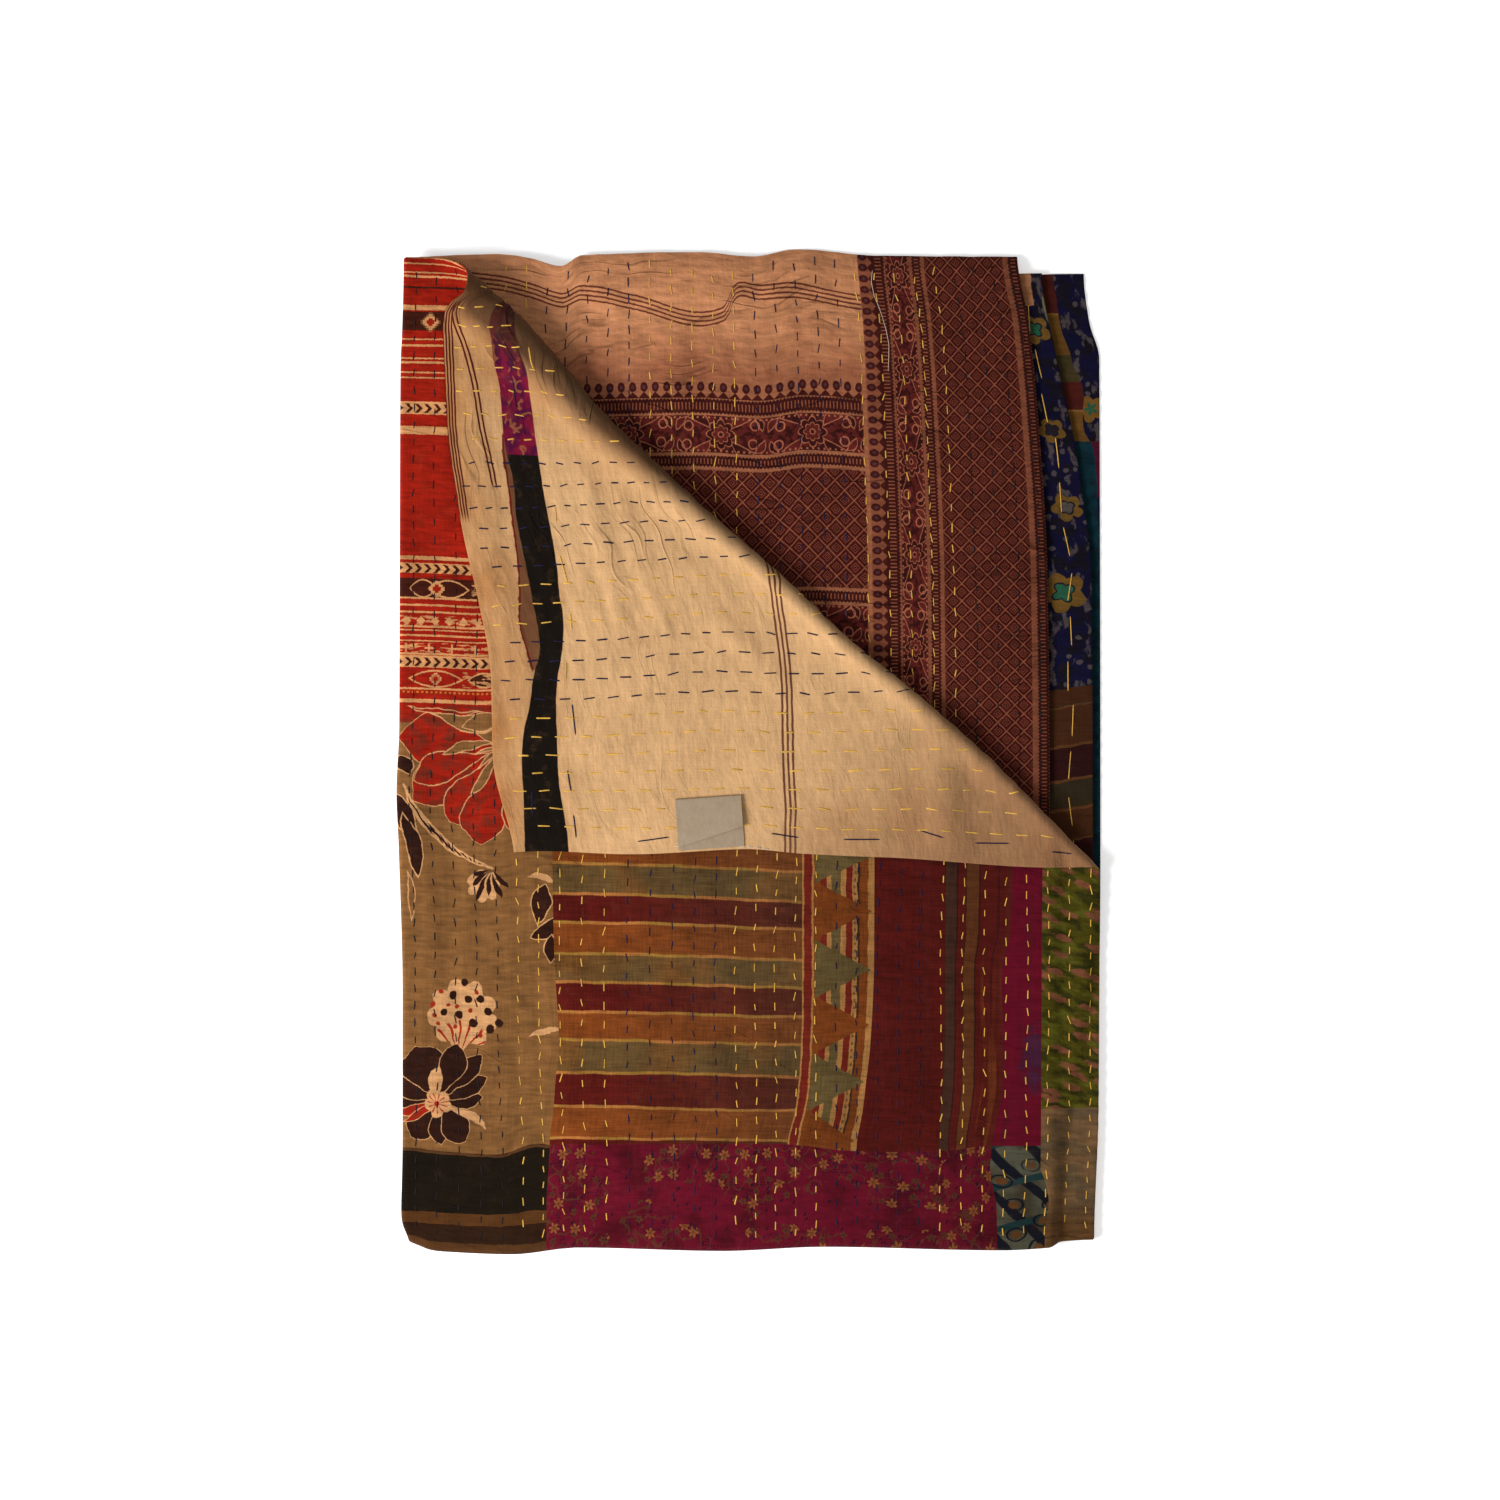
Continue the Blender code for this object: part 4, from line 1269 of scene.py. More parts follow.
def draw_big_flowers(art):
    """Taupe ground with a large red flower, dark leaves, buds and a dark flower, in cream edges."""
    loose = art.warped(2.2, 17, seed=1).warped(0.5, 3, seed=2)
    cream, dark, rust = (196, 144, 96), (42, 19, 12), (145, 38, 22)
    red = art.mix(chosen("red"), (110, 36, 22), (art.noise(12, 3, seed=59) - 0.42) * 4)
    # The ground is lighter and darker in long upright streaks: painted shade of soft upright folds.
    ground = art.shaded(chosen("taupe"), 1 + (art.noise(13, 2, (1, 8), seed=57) - 0.5) * 0.6)
    colour = art.mix(ground, red, (loose.v - 474).outside(0.8))
    colour = loose.petals(colour, (
        ((94, 454), 213, 94, 23, -4, 2.0, red), ((92, 452), 174, 92, 25, 0, 1.6, red),
        ((94, 450), 200, 84, 15, -3, 2.2, red), ((92, 452), 236, 82, 22, 5, 2.2, red),
        ((90, 450), 260, 88, 21, -3, 2.3, red), ((96, 440), 282, 76, 13, 0, 1.8, red),
        ((88, 456), 194, 50, 5, -3, 1.2, ground), ((90, 448), 238, 46, 4.5, 2, 1.3, ground),
        ((26, 482), -10, 66, 8, -3, 1.4, ground), ((56, 470), 10, 40, 8, 0, 1, ground),
        ((2, 497), -6, 84, 3.5, 3, 1, red), ((4, 488), -4, 74, 2.6, -3, 1, red),
        ((2, 444), -60, 20, 7, 0, 1, dark), ((-2, 412), -74, 52, 8.5, 3, 1, dark),
        ((4, 392), -78, 60, 8, 4, 1, dark), ((8, 340), -86, 46, 3.6, 1, 1, ground),
        ((124, 290), 76, 36, 10, 0, 1, dark), ((118, 276), 34, 34, 8, -2, 1, dark),
        ((137, 280), -96, 26, 7, 0, 1, dark), ((112, 190), 8, 34, 2.6, 3, 1, cream),
        ((116, 330), -12, 26, 2.8, 3, 1, cream),
    ), cream, 1.0)
    # The feathery branch and its bud.
    branch = loose.petal((6, 418), -44, 108, 2.6, -13, 1)
    barbs = ((loose.u * 0.8 + loose.v * 0.5).wrapped(2.6) - 1.2).inside(0.5)
    barbs = barbs * (branch + 0.4).inside()
    colour = art.lay(
        colour, (cream, (branch - 1).inside()), (dark, barbs.most((branch + 1.7).inside())),
        (cream, loose.blossom(loose.local((77, 327)), 15, 7, 0.25).inside(1)),
    )
    spikes = ((-112, 32), (-92, 26), (-70, 30), (-130, 22), (-48, 26), (-150, 16))
    colour = loose.petals(colour, [((82, 343), *spike, 2.4, 0, 2, dark) for spike in spikes])
    # The dotted bud, a fan of stems.
    away = loose.blossom(loose.local((55, 211)), 32, 9, 0.2, 0.3)
    stems = rays(art, loose.local((52, 176)), 17, 0.72, 0.1, 30, 2)
    colour = art.lay(colour, (cream, away.inside(1)), (rust, stems * away.inside(1)))
    colour = loose.dots(colour, (
        (56.8, 240), (46, 229), (60.5, 225), (39, 214), (52, 211), (78, 214), (71, 226), (65, 204),
        (79, 198), (87, 203),
    ), 3.7, dark)
    colour = loose.dots(colour, (
        (28, 220), (33, 204), (62, 215), (47, 200), (70, 194), (36, 232), (30, 211), (42, 221),
        (50, 219), (68, 232),
    ), 2.1, rust)
    # The dark flower over it.
    heart = (33, 132)
    colour = loose.petals(colour, [(heart, *row) for row in (
        (231, 40, 14, 0, 1.6, dark), (176, 40, 12, 0, 1.5, dark), (-84, 36, 10, 0, 1.6, dark),
        (-50, 42, 13, 0, 1.7, dark), (8, 42, 9, 0, 1.8, dark), (28, 50, 10, 0, 1.8, dark),
        (48, 58, 10, 0, 1.9, dark), (142, 46, 15, 0, 1.6, dark), (112, 56, 20, 0, 1.7, dark),
        (72, 56, 13, -2, 1.9, dark), (190, 42, 5, 2, 1, red), (208, 36, 4, 0, 1, red),
        (88, 34, 6.5, 3, 1.4, cream), (-24, 52, 3.5, 3, 1.6, cream),
    )], cream, 0.7)
    middle = loose.local(heart)
    stamens = rays(art, middle, 11, 0.7, 0.2, 9, 1).most((art.length(middle) - 2.2).inside(1))
    return art.lay(
        colour, (cream, loose.blossom(middle, 13, 5, 0.3, 0.4).inside(1)), ((160, 38, 24), stamens)
    )


def draw_left_print(art):
    return art.mix(draw_big_flowers(art), draw_red_bands(art), (art.v - 488).outside(0.8))


def draw_dark_stripes(art):
    """Black, tan and brown bands along the lower fold."""
    return art.stripes(art.warped(0.8, 9, seed=3).v, 0, 100, (24, 17, 9), (
        (88, 90.5, (78, 48, 25)), (24, 35, (79, 47, 20)), (22.5, 24, (43, 22, 11)),
        (8, 22.5, (43, 24, 12)), (0, 8, (76, 46, 22)),
    ))


def draw_stripes(art):
    """Mustard, grey-green and brick stripes between light lines. The green turns brown in places,
    and all of it is greyer to the right and, as painted shade, darker to the right."""
    rough = art.warped(1.3, 34, seed=5).warped(0.35, 2.4, seed=6)
    w = rough.v + (rough.u - 250) * 0.016
    mustard, green, brick = chosen("mustard"), chosen("sage"), chosen("brick")
    lines = (96, 126.4, 157, 185.7, 210.4, 236.6, 262, 289, 314, 340.5)
    tints = (mustard, brick, green) * 3 + (mustard,)
    colour = art.stripes(w, 60, 366, brick, list(zip(lines, (*lines[1:], 366), tints)))
    green_bands = ((157, 185.7), (236.6, 262), (314, 340.5))
    greenish = union(w.between(low + 1, high - 1) for low, high in green_bands)
    browned = ((art.noise(60, 2, seed=21) - 0.44) * 5).most(0)
    straw = art.mix((168, 104, 52), (150, 108, 45), (art.noise(50, 1, seed=22) - 0.4) * 5)
    colour = art.lay(
        colour, ((112, 72, 34), greenish * browned * 0.9),
        (straw, union(w.near(line, 1.3, 0.8) for line in lines)),
        ((72, 62, 42), ((rough.u - 190) / 560).most(0)),
    )
    # Painted shade: darker to the right, where the light falls off.
    return art.shaded(colour, 1.07 - rough.u * 0.0008)


def draw_border(art):
    """Upright wavy stripes under a row of triangles that point to the right."""
    rough = art.warped(1.1, 15, seed=7).warped(0.5, 3, seed=8)
    u, v = rough.u, rough.v
    red, cream, green, mustard = (112, 34, 22), (166, 116, 64), (98, 80, 46), chosen("mustard")
    colour = art.stripes(u, 360, 430, (140, 92, 44), (
        (362, 364, cream), (364, 371, red), (371, 373, cream), (373, 379, mustard), (379, 385, red),
        (385, 389, cream), (389, 397, green), (397, 402, cream), (402, 408, red), (408, 413, cream),
        (413, 414.7, (66, 40, 24)), (414.7, 422.3, mustard), (422.3, 430, cream),
    ))
    dashes = (v.from_nearest(6.4) - 1.4).inside(0.8) * u.near(410.5, 1)
    colour = art.mix(colour, (86, 50, 30), dashes * 0.7)
    for tint, middles in ((mustard, (305, 202, 99)), (green, (355, 252, 150.5))):
        for middle in middles:
            edge = (abs(v - middle) + (u - 374) * 0.5 - 26).most(374 - u)
            colour = art.mix(colour, tint, edge.inside(0.8))
    return art.shaded(colour, 0.74)


def draw_brick(art):
    """Plain brick cloth with faint navy flecks."""
    at, _ = art.cells(9, 0.35, seed=7)
    streak = (art.noise(9, 2, (1, 16), seed=23) - 0.5) * 1.6
    flecks = (art.length(at) - 1.1).inside(0.8) * 0.4
    colour = art.lay(chosen("brick"), ((72, 27, 22), streak.most(0)), ((44, 18, 24), flecks))
    return art.shaded(colour, 0.77)


def draw_strips(art):
    """Narrow upright strips of brown, brick, tan and maroon, with streaks of orange low down."""
    brick = (84, 22, 17)
    colour = art.stripes(art.warped(0.7, 12, seed=9).u, 488, 552, brick, (
        (488, 491, (60, 22, 18)), (491, 501, (64, 38, 28)), (501, 502.2, (50, 20, 16)),
        (502.2, 509, brick), (509, 510, (60, 28, 18)), (510, 521, (92, 50, 25)),
        (521, 522.5, (56, 20, 16)), (538, 540, (66, 20, 20)), (546, 550.5, (84, 28, 20)),
    ))
    streak = (art.noise(6, 3, (1, 22), seed=24) - 0.5) * 4
    lower = (art.u - 524).outside(3) * (240 - art.v).outside(60)
    return art.shaded(art.mix(colour, (112, 54, 24), streak.most(0) * lower), 0.8)


def draw_crimson(art):
    """Crimson cloth with streaks and a bluish stain."""
    streak = (art.noise(5, 3, (1, 20), seed=25) - 0.5) * 3
    stain = art.length(art.local((575, 172), 0, (9, 24))) - 1 + (art.noise(9, 2, seed=26) - 0.5) * 2
    return art.lay(
        chosen("crimson"), ((74, 14, 26), streak.most(0)), ((52, 26, 48), stain.inside(0.7) * 0.8)
    )


def draw_leaf(art):
    """Leaf green with slanting leaves of two greens, and strokes of pinkish brown lying across."""
    rough = art.warped(1.8, 9, seed=10)
    slant = rough.mapped(rough.cloth, "POINT", turn=24)
    leaves = art.noise(8, 2, (2.6, 1), seed=28, vector=slant)
    at, chance = rough.cells(17, 0.9, (1.3, 0.75), seed=27, vector=slant)
    x, y = art.split(at)
    blot = art.length(art.join(x * 0.34, y)) + (art.noise(4, 2, (2, 1), seed=48) - 0.5) * 4
    blot = (blot - 3).inside(1.2) * (chance[0] - 0.2).outside(0.02)
    return art.lay(
        chosen("leaf"), ((46, 45, 11), (leaves - 0.53) * 12), ((80, 77, 20), (0.45 - leaves) * 12),
        ((118, 68, 48), blot * 0.85),
    )


def draw_brown(art):
    """Grey-brown cloth, browner at its foot."""
    return art.lay(
        (112, 82, 52), ((88, 70, 48), (art.noise(26, 2, (2, 1), seed=29) - 0.42) * 5),
        ((92, 62, 34), (art.v - 30).inside(24)),
    )


def scattered(art, colour, size, seed, radius, petals, fill, heart, depth):
    """Small flowers in loose groups, one to a cell of this size, each turned its own way."""
    at, chance = art.cells(size, 0.75, seed=seed)
    flower = art.blossom(at, radius, petals, depth, chance[0] * 6)
    left_out = (0.45 - art.noise(52, 1, seed=58)).most(chance[1] - 0.8).most(0)
    flower = flower + left_out * 400
    core = flower + radius * 0.62
    return art.lay(colour, (fill, flower.inside(0.5)), (heart, core.inside(0.5)))


def vines(art, size, seed, half, level=0.5):
    """Curling lines: where a noise is near a level."""
    return (abs(art.noise(size, 0.6, seed=seed) - level) * (size / 1.1) - half).inside(0.5)


def draw_magenta_print(art):
    """Magenta with loose groups of gold and olive flowers, thin sprigs and dotted curls."""
    rough = art.warped(0.8, 5, seed=11)
    gold, olive, navy = (128, 74, 38), (80, 46, 28), (44, 12, 30)
    groups = art.noise(52, 1, seed=58)
    small, _ = rough.cells(2.4, 0.3, seed=12)
    dotted = vines(rough, 20, 31, 0.9, 0.56) * (art.length(small) - 0.75).inside(0.4)
    sprigs = vines(rough, 15, 32, 0.3, 0.47) * (groups - 0.47).outside(0.04)
    at, chance = rough.cells(12, 0.9, seed=13)
    x, y = art.split(rough.mapped(at, "POINT", (0, 0), 35))
    specks = (abs(x) + abs(y) * 0.45 - 1.1).inside(0.5)
    colour = art.lay(
        chosen("magenta"), ((70, 10, 20), (art.noise(34, 4, seed=30) - 0.48) * 4),
        (navy, dotted * (groups - 0.45).outside(0.05)), (olive, sprigs * 0.8),
        (navy, specks * (chance[0] - 0.6).outside(0.02)),
        (olive, specks * (chance[0] - 0.6).inside(0.02) * (groups - 0.44).outside(0.02)),
    )
    colour = scattered(rough, colour, 17, 14, 3.4, 5, olive, navy, 0.7)
    colour = scattered(rough, colour, 22, 15, 5, 6, gold, (60, 20, 22), 0.72)
    # Painted shade: darker to the right, where the light falls off.
    return art.shaded(colour, 1.05 - (rough.u - 139) * 0.0007)


def draw_banded_print(art):
    """Pale grey with broad navy bands that cross, and teal and ochre touches."""
    rough = art.warped(1.5, 14, seed=12)
    navy = (16, 16, 24)
    slant, other = rough.u * 0.83 + rough.v * 0.55, rough.u * 0.34 - rough.v * 0.94
    at, chance = rough.cells(19, 0.8, seed=16)
    some, away = (chance[0] - 0.5).outside(0.02), art.length(at)
    return art.lay(
        (71, 70, 56), ((56, 48, 36), (art.noise(20, 2, seed=34) - 0.45) * 5),
        (navy, (slant.from_nearest(21) - 3.2).inside(0.8)),
        ((24, 45, 45), (other.from_nearest(34) - 2.6).inside(0.8)),
        ((84, 52, 24), (away - 3.2).inside(0.8) * some), (navy, away.near(5.4, 0.7) * some),
    )


def draw_corner_cotton(art):
    """Plain cotton with a woven edge, thin maroon lines, and a strip of purple and black let in. It
    has random stains and painted shade: darker towards its left, its upper hem and its point, and
    darker still in a band along the roll, most at the roll's start. It is yellowed towards its
    point."""
    loose = art.warped(0.5, 12, seed=17)
    u, d = loose.u, 890 - loose.v
    maroon = (78, 22, 16)
    # Random stains, and painted shade: darker towards the left, the upper hem and the point.
    stains_and_painted_shade = (art.noise(60, 3, seed=35) - 0.5) * 0.9
    stains_and_painted_shade = ((310 - u) / 270).most((76 - d) / 96).most((u + d - 860) / 260) + stains_and_painted_shade
    near_edge = art.curve(u, (
        (0, 46), (120, 47.6), (155, 45), (185, 50.7), (239, 53.8), (260, 57), (291, 54.6),
        (325, 52), (368, 50), (423, 47.6), (445, 40.5), (477, 35), (503, 29.6), (557, 23.4),
        (618, 11.7), (700, 8),
    ))
    far_edge = art.curve(u, (
        (0, 64), (121, 69), (158, 77), (196, 80), (224, 83), (259, 84), (298, 83), (333, 80),
        (368, 75.6), (388, 75), (417, 70), (453, 61.6), (530, 58.5), (572, 54.6), (620, 52),
        (700, 50),
    ))
    # Woven lines by the selvedge, the second pair, and the three lines further in.
    edge_lines = (d.from_nearest(2.8) - 0.8).inside(0.4) * (d - 9.5).inside(0.4)
    edge_lines = edge_lines * u.between(100, 296, 8)
    second = abs(d - art.curve(u, (
        (0, 0), (107, 8.6), (166, 24), (221, 33.5), (264, 38), (300, 40),
    )))
    second = second.near(2, 0.9, 0.4) * u.between(100, 268, 6)
    triple = abs(d - art.curve(u, (
        (300, 272), (366, 272), (391, 270), (476, 270.6), (576, 262), (617, 255), (700, 250),
    )))
    triple = (triple - 1).inside(0.5).most(triple.near(4.4, 1, 0.5))
    # The sliver beside the strip, and the strip itself.
    sliver = art.curve(u, (
        (0, 46), (215, 53), (226, 50.7), (278, 50.7), (333, 44.4), (372, 37.4), (395, 32.7),
        (421, 35), (440, 38), (460, 40), (700, 8),
    ))
    jag = (loose.noise(7, 2, seed=36) - 0.5) * 4
    sliver_share = (sliver + jag - d).most(d - near_edge - 2).inside() * u.between(222, 442, 3)
    seam = (abs(d - sliver - 1) - 0.8).inside(0.5) * u.between(222, 442, 3)
    bits = vines(loose, 9, 38, 0.5) * (art.noise(12, 1, seed=39) - 0.54).outside(0.05)
    strip = art.lay(
        (112, 16, 44), ((72, 12, 46), (art.noise(14, 2, seed=37) - 0.4) * 5),
        ((150, 86, 50), bits * 0.7), ((21, 15, 10), (u - 239).outside()),
    )
    # How far along the roll and past it a place is.
    _, along, across = crease_frame()
    x, y = u - CREASE_START[0] / MM, loose.v - CREASE_START[1] / MM
    run = (x * float(along[0]) + y * float(along[1])).most(0)
    past = x * float(across[0]) + y * float(across[1])
    # Painted shade on the roll: a dark band from the crease to so far past it, widest at its start.
    soil_and_painted_shade = past - art.curve(run, (
        (0, 66), (60, 56), (120, 44), (250, 30), (450, 25), (650, 24), (815, 20),
    ))
    return art.lay(
        chosen("cotton"), ((160, 106, 60), stains_and_painted_shade),
        (maroon, edge_lines.most(second).most(triple * 0.9)), ((104, 66, 42), sliver_share),
        ((96, 22, 18), seam), (strip, (near_edge - d).most(d - far_edge).inside()),
        # Painted shade: the dark band along the roll, and the dark hollow at the roll's start.
        ((56, 32, 21), soil_and_painted_shade.inside(24) * 0.85), ((62, 38, 27), (80 - u).most(0) / 60),
        # Towards the point: yellowed, and darker as painted shade.
        ((140, 103, 74), (run - 640).outside(150) * 0.7),
    )


def beads(art, colour, across, along, pitch):
    """A row of dark ovals with pale hearts, and a zigzag under them."""
    dark = (64, 20, 16)
    x = along.wrapped(pitch) - pitch / 2
    away = ((x * x) * 1.35 + (across * across) * 0.8).apply("SQRT")
    zigzag = (abs(x) + across + 4.2).inside() * (across + 10).outside()
    return art.lay(
        colour, (dark, (away - 3.9).inside(0.5)), ((72, 44, 52), (away - 1.5).inside(0.5)),
        (dark, zigzag),
    )


def toothed(art, colour, across, along, half):
    """A dark band with short ticks across its middle, and teeth on both edges."""
    aside, tooth = abs(across), along.from_nearest(3.2)
    ticks = (tooth - 0.5).inside(0.4) * (aside - half * 0.5).inside(0.4)
    band = (aside + tooth * 0.9 - half - 0.6).inside(0.5)
    return art.lay(colour, ((58, 18, 15), band), ((136, 76, 52), ticks))


def scroll(art, across, along, half):
    """A dark band with a round flower, leaves and curls that repeat along it, in peach outlines."""
    dark, light, wine = (54, 17, 15), (160, 92, 66), (88, 30, 26)
    repeat = 83
    band = Art(art.tree, art.join(along.wrapped(repeat) - repeat / 2, across * (16 / half)))
    leaves = [
        ((x * side, y * side), turn + half_turn, *shape, 1, fill)
        for half_turn, side in ((0, 1), (180, -1))
        for (x, y), turn, *shape, fill in (
            ((9, 5), 24, 24, 4.6, 4, dark), ((9, -5), -26, 22, 4.6, -4, wine),
            ((40, 3), 130, 15, 3.6, -2, wine), ((38, -4), -120, 14, 3.4, 2, dark),
        )
    ]
    colour = art.mix(wine, dark, (band.noise(6, 2, seed=40) - 0.45) * 8)
    colour = band.petals(colour, leaves, light, 0.9)
    places = ((29, 7), (31, -9), (-29, -7), (-31, 9))
    curls = [abs(art.length(band.local(place)) - 4) - 0.6 for place in places]
    colour = art.mix(colour, light, functools.reduce(Field.least, curls).inside(0.5))
    rings = ((13.6, light), (12.5, dark), (8.4, light), (7.5, wine), (3, light), (2, dark))
    for radius, fill in rings:
        colour = art.mix(colour, fill, band.blossom(band.cloth, radius, 8, 0.28).inside(0.5))
    rows = (band.u.from_nearest(5.2) - 0.9).inside(0.5) * abs(band.v).near(14.3, 0.8, 0.5)
    return art.mix(colour, light, rows)


def lattice(art, x, y, wide, high):
    """Slanting lattice of peach lines: in each diamond a dark one, a red square and a dark dot."""
    dark, light, wine, ring = (46, 14, 12), (142, 80, 54), (82, 25, 20), (130, 64, 45)
    s, t = x / wide + y / high, x / wide - y / high
    far = abs(s.wrapped(1) - 0.5).most(abs(t.wrapped(1) - 0.5))
    return art.lay(
        dark, (light, (far - 0.464).outside(0.03)), (wine, far.near(0.4, 0.022, 0.03)),
        (wine, (far - 0.3).inside(0.03)), (ring, far.near(0.235, 0.02, 0.03)),
        (dark, (far - 0.21).inside(0.03)), (ring, far.near(0.1, 0.022, 0.03)),
        (dark, (far - 0.075).inside(0.03)),
    )


def draw_sari(art):
    """Peach field with thin lines, and the two maroon borders that meet at its corner. It is darker
    to the right and most near the hem, in painted shade."""
    rough = art.warped(0.45, 3.5, seed=18)
    u, v = abs(rough.u), rough.v
    line = (148, 90, 62)
    low = (v - 805 + (art.noise(30, 2, seed=41) - 0.5) * 50).inside(45)
    away = v - art.curve(u, (
        (60, 868), (90, 864), (181, 854), (209, 847), (295, 835.5), (309, 858), (330, 857),
        (417, 847), (440, 847),
    ))
    thin = ((away + 2).from_nearest(4) - 0.85).inside(0.4) * (abs(away) - 7.4).inside(0.4)
    field = art.lay(
        chosen("sari"), ((136, 76, 52), low * 0.8), ((84, 28, 20), thin * (u - 424).inside(1) * 0.9)
    )

    level = art.mix(field, line, (v - 778).inside())
    level = beads(art, level, v - 770.4, rough.u, 10.3)
    level = art.mix(level, line, (v - 760).inside(0.5))
    level = toothed(art, level, v - 753.2, rough.u, 6.4)
    level = art.mix(level, scroll(art, v - 728.5, rough.u, 16.5), v.between(712, 745))
    level = toothed(art, level, v - 704.3, rough.u, 4.8)
    level = art.mix(level, lattice(art, rough.u, v - 643.7, 16.7, 17), v.between(591, 696.5))
    level = art.mix(level, line, v.between(576, 591))
    level = toothed(art, level, v - 583.3, rough.u, 4.8)
    level = art.mix(level, scroll(art, v - 559.5, rough.u, 16.5), (v - 575.6).inside())

    upright = art.mix(field, (128, 72, 50), (u - 424).outside(0.8))
    upright = beads(art, upright, 428.8 - u, v, 9.7)
    upright = toothed(art, upright, u - 443.3, v, 5.8)
    upright = art.mix(upright, scroll(art, u - 462, v, 11.5), u.between(450.7, 473.2))
    upright = toothed(art, upright, u - 480.4, v, 4.2)
    upright = art.mix(upright, lattice(art, u - 526.5, v, 15.4, 15.5), u.between(488.1, 565))
    upright = toothed(art, upright, u - 575, v, 4.8)
    colour = art.mix(level, upright, (u - 420).outside(1))
    # Painted shade: darker to the right, and more near the hem.
    return art.shaded(colour, 1.08 - u * 0.00035 - (u - 562).most(0) * 0.016)


def draw_navy_print(art):
    """Navy with broken grey blotches."""
    rough = art.warped(1.6, 8, seed=19)
    at, chance = rough.cells(9, 0.9, (1, 1.7), seed=20)
    broken = (art.length(at) - 2.2).inside(0.8) * (chance[0] - 0.6).outside(0.02)
    blotch = (rough.noise(9, 3, (1, 2.2), seed=42) - 0.59) * 16
    return art.lay(
        chosen("navy"), ((17, 13, 22), (rough.noise(13, 2, seed=45) - 0.45) * 6),
        ((68, 59, 60), broken.most(blotch * 0.8)),
    )


def draw_third_layer(art):
    """The navy print, with four mustard flowers, over slanted stripes of the lower patch."""
    rough = art.warped(1.3, 9, seed=22)
    u, v = abs(rough.u), abs(rough.v)
    colour = draw_navy_print(art)
    shown = Art(art.tree, rough.join(u, v))
    green = (34, 78, 56)
    for place, radius, heart in (
        ((566, 838), 14, green), ((563, 745), 12, (30, 24, 30)), ((566, 674), 13, (76, 66, 62)),
        ((558, 596), 19, green),
    ):
        flower = shown.blossom(shown.local(place), radius, 5, 0.35, 0.5)
        core = shown.blossom(shown.local(place), radius * 0.5, 4, 0.4, 1.0)
        colour = art.lay(
            colour, ((98, 70, 28), flower.inside()), (heart, core.inside()),
            ((26, 22, 30), (abs(core) - 0.8).inside(0.5)),
        )
    leaf = ((578, 872), -78, 50, 5, 0, 1, (104, 100, 76))
    colour = shown.petals(colour, [leaf], (50, 46, 36), 0.8)
    w = v - (u - 540) * 0.2
    maroon, olive, tan = (42, 15, 13), (44, 34, 20), (80, 48, 24)
    striped = art.stripes(w, 280, 508, (60, 32, 15), (
        (488, 508, olive), (486, 488.5, tan), (450, 452.5, tan), (421, 450, maroon),
        (418.5, 421, tan), (395, 418.5, olive), (392, 394.5, tan), (364, 366, tan),
        (330, 364, maroon),
    ))
    bare = (abs(u - 563) - 7).most(860 - v).inside(0.8)
    return art.lay(colour, ((150, 100, 66), bare), (striped, (w - 504).inside(0.8)))


def draw_edge_cloth(art):
    """What shows of the bottom layer: a checked strip and a teal one below it, then navy print."""
    rough = art.warped(0.8, 8, seed=23)
    u, v = abs(rough.u), abs(rough.v)
    at = Art(art.tree, rough.join(u, v))
    flower = at.blossom(at.local((622, 765)), 13, 5, 0.35, 0.5)
    printed = art.lay(
        draw_navy_print(art), ((100, 70, 28), flower.inside()),
        ((36, 74, 54), (flower + 7).inside()),
    )
    edge = art.curve(v, (
        (560, 640), (650, 629), (683, 627.5), (700, 627), (735, 621.7), (742, 617), (786, 614.5),
        (808, 605.5), (876, 602), (900, 600),
    ))
    mustard = (92, 62, 24)
    check = art.stripes(v, 730, 890, (64, 22, 16), (
        (852, 853.5, (120, 80, 40)), (815, 852, mustard), (790, 815, (56, 46, 24)),
        (762, 764, (120, 80, 40)), (735, 762, mustard),
    ))
    teal = art.mix((10, 42, 50), (8, 32, 40), (art.noise(12, 2, seed=43) - 0.4) * 4)
    return art.lay(
        (70, 14, 34), (printed, (v - 735).outside(0.8)), (chosen("navy"), (v - 683).inside(0.8)),
        (art.mix(teal, check, (v - 735).outside()), (u - edge).inside()),
    )


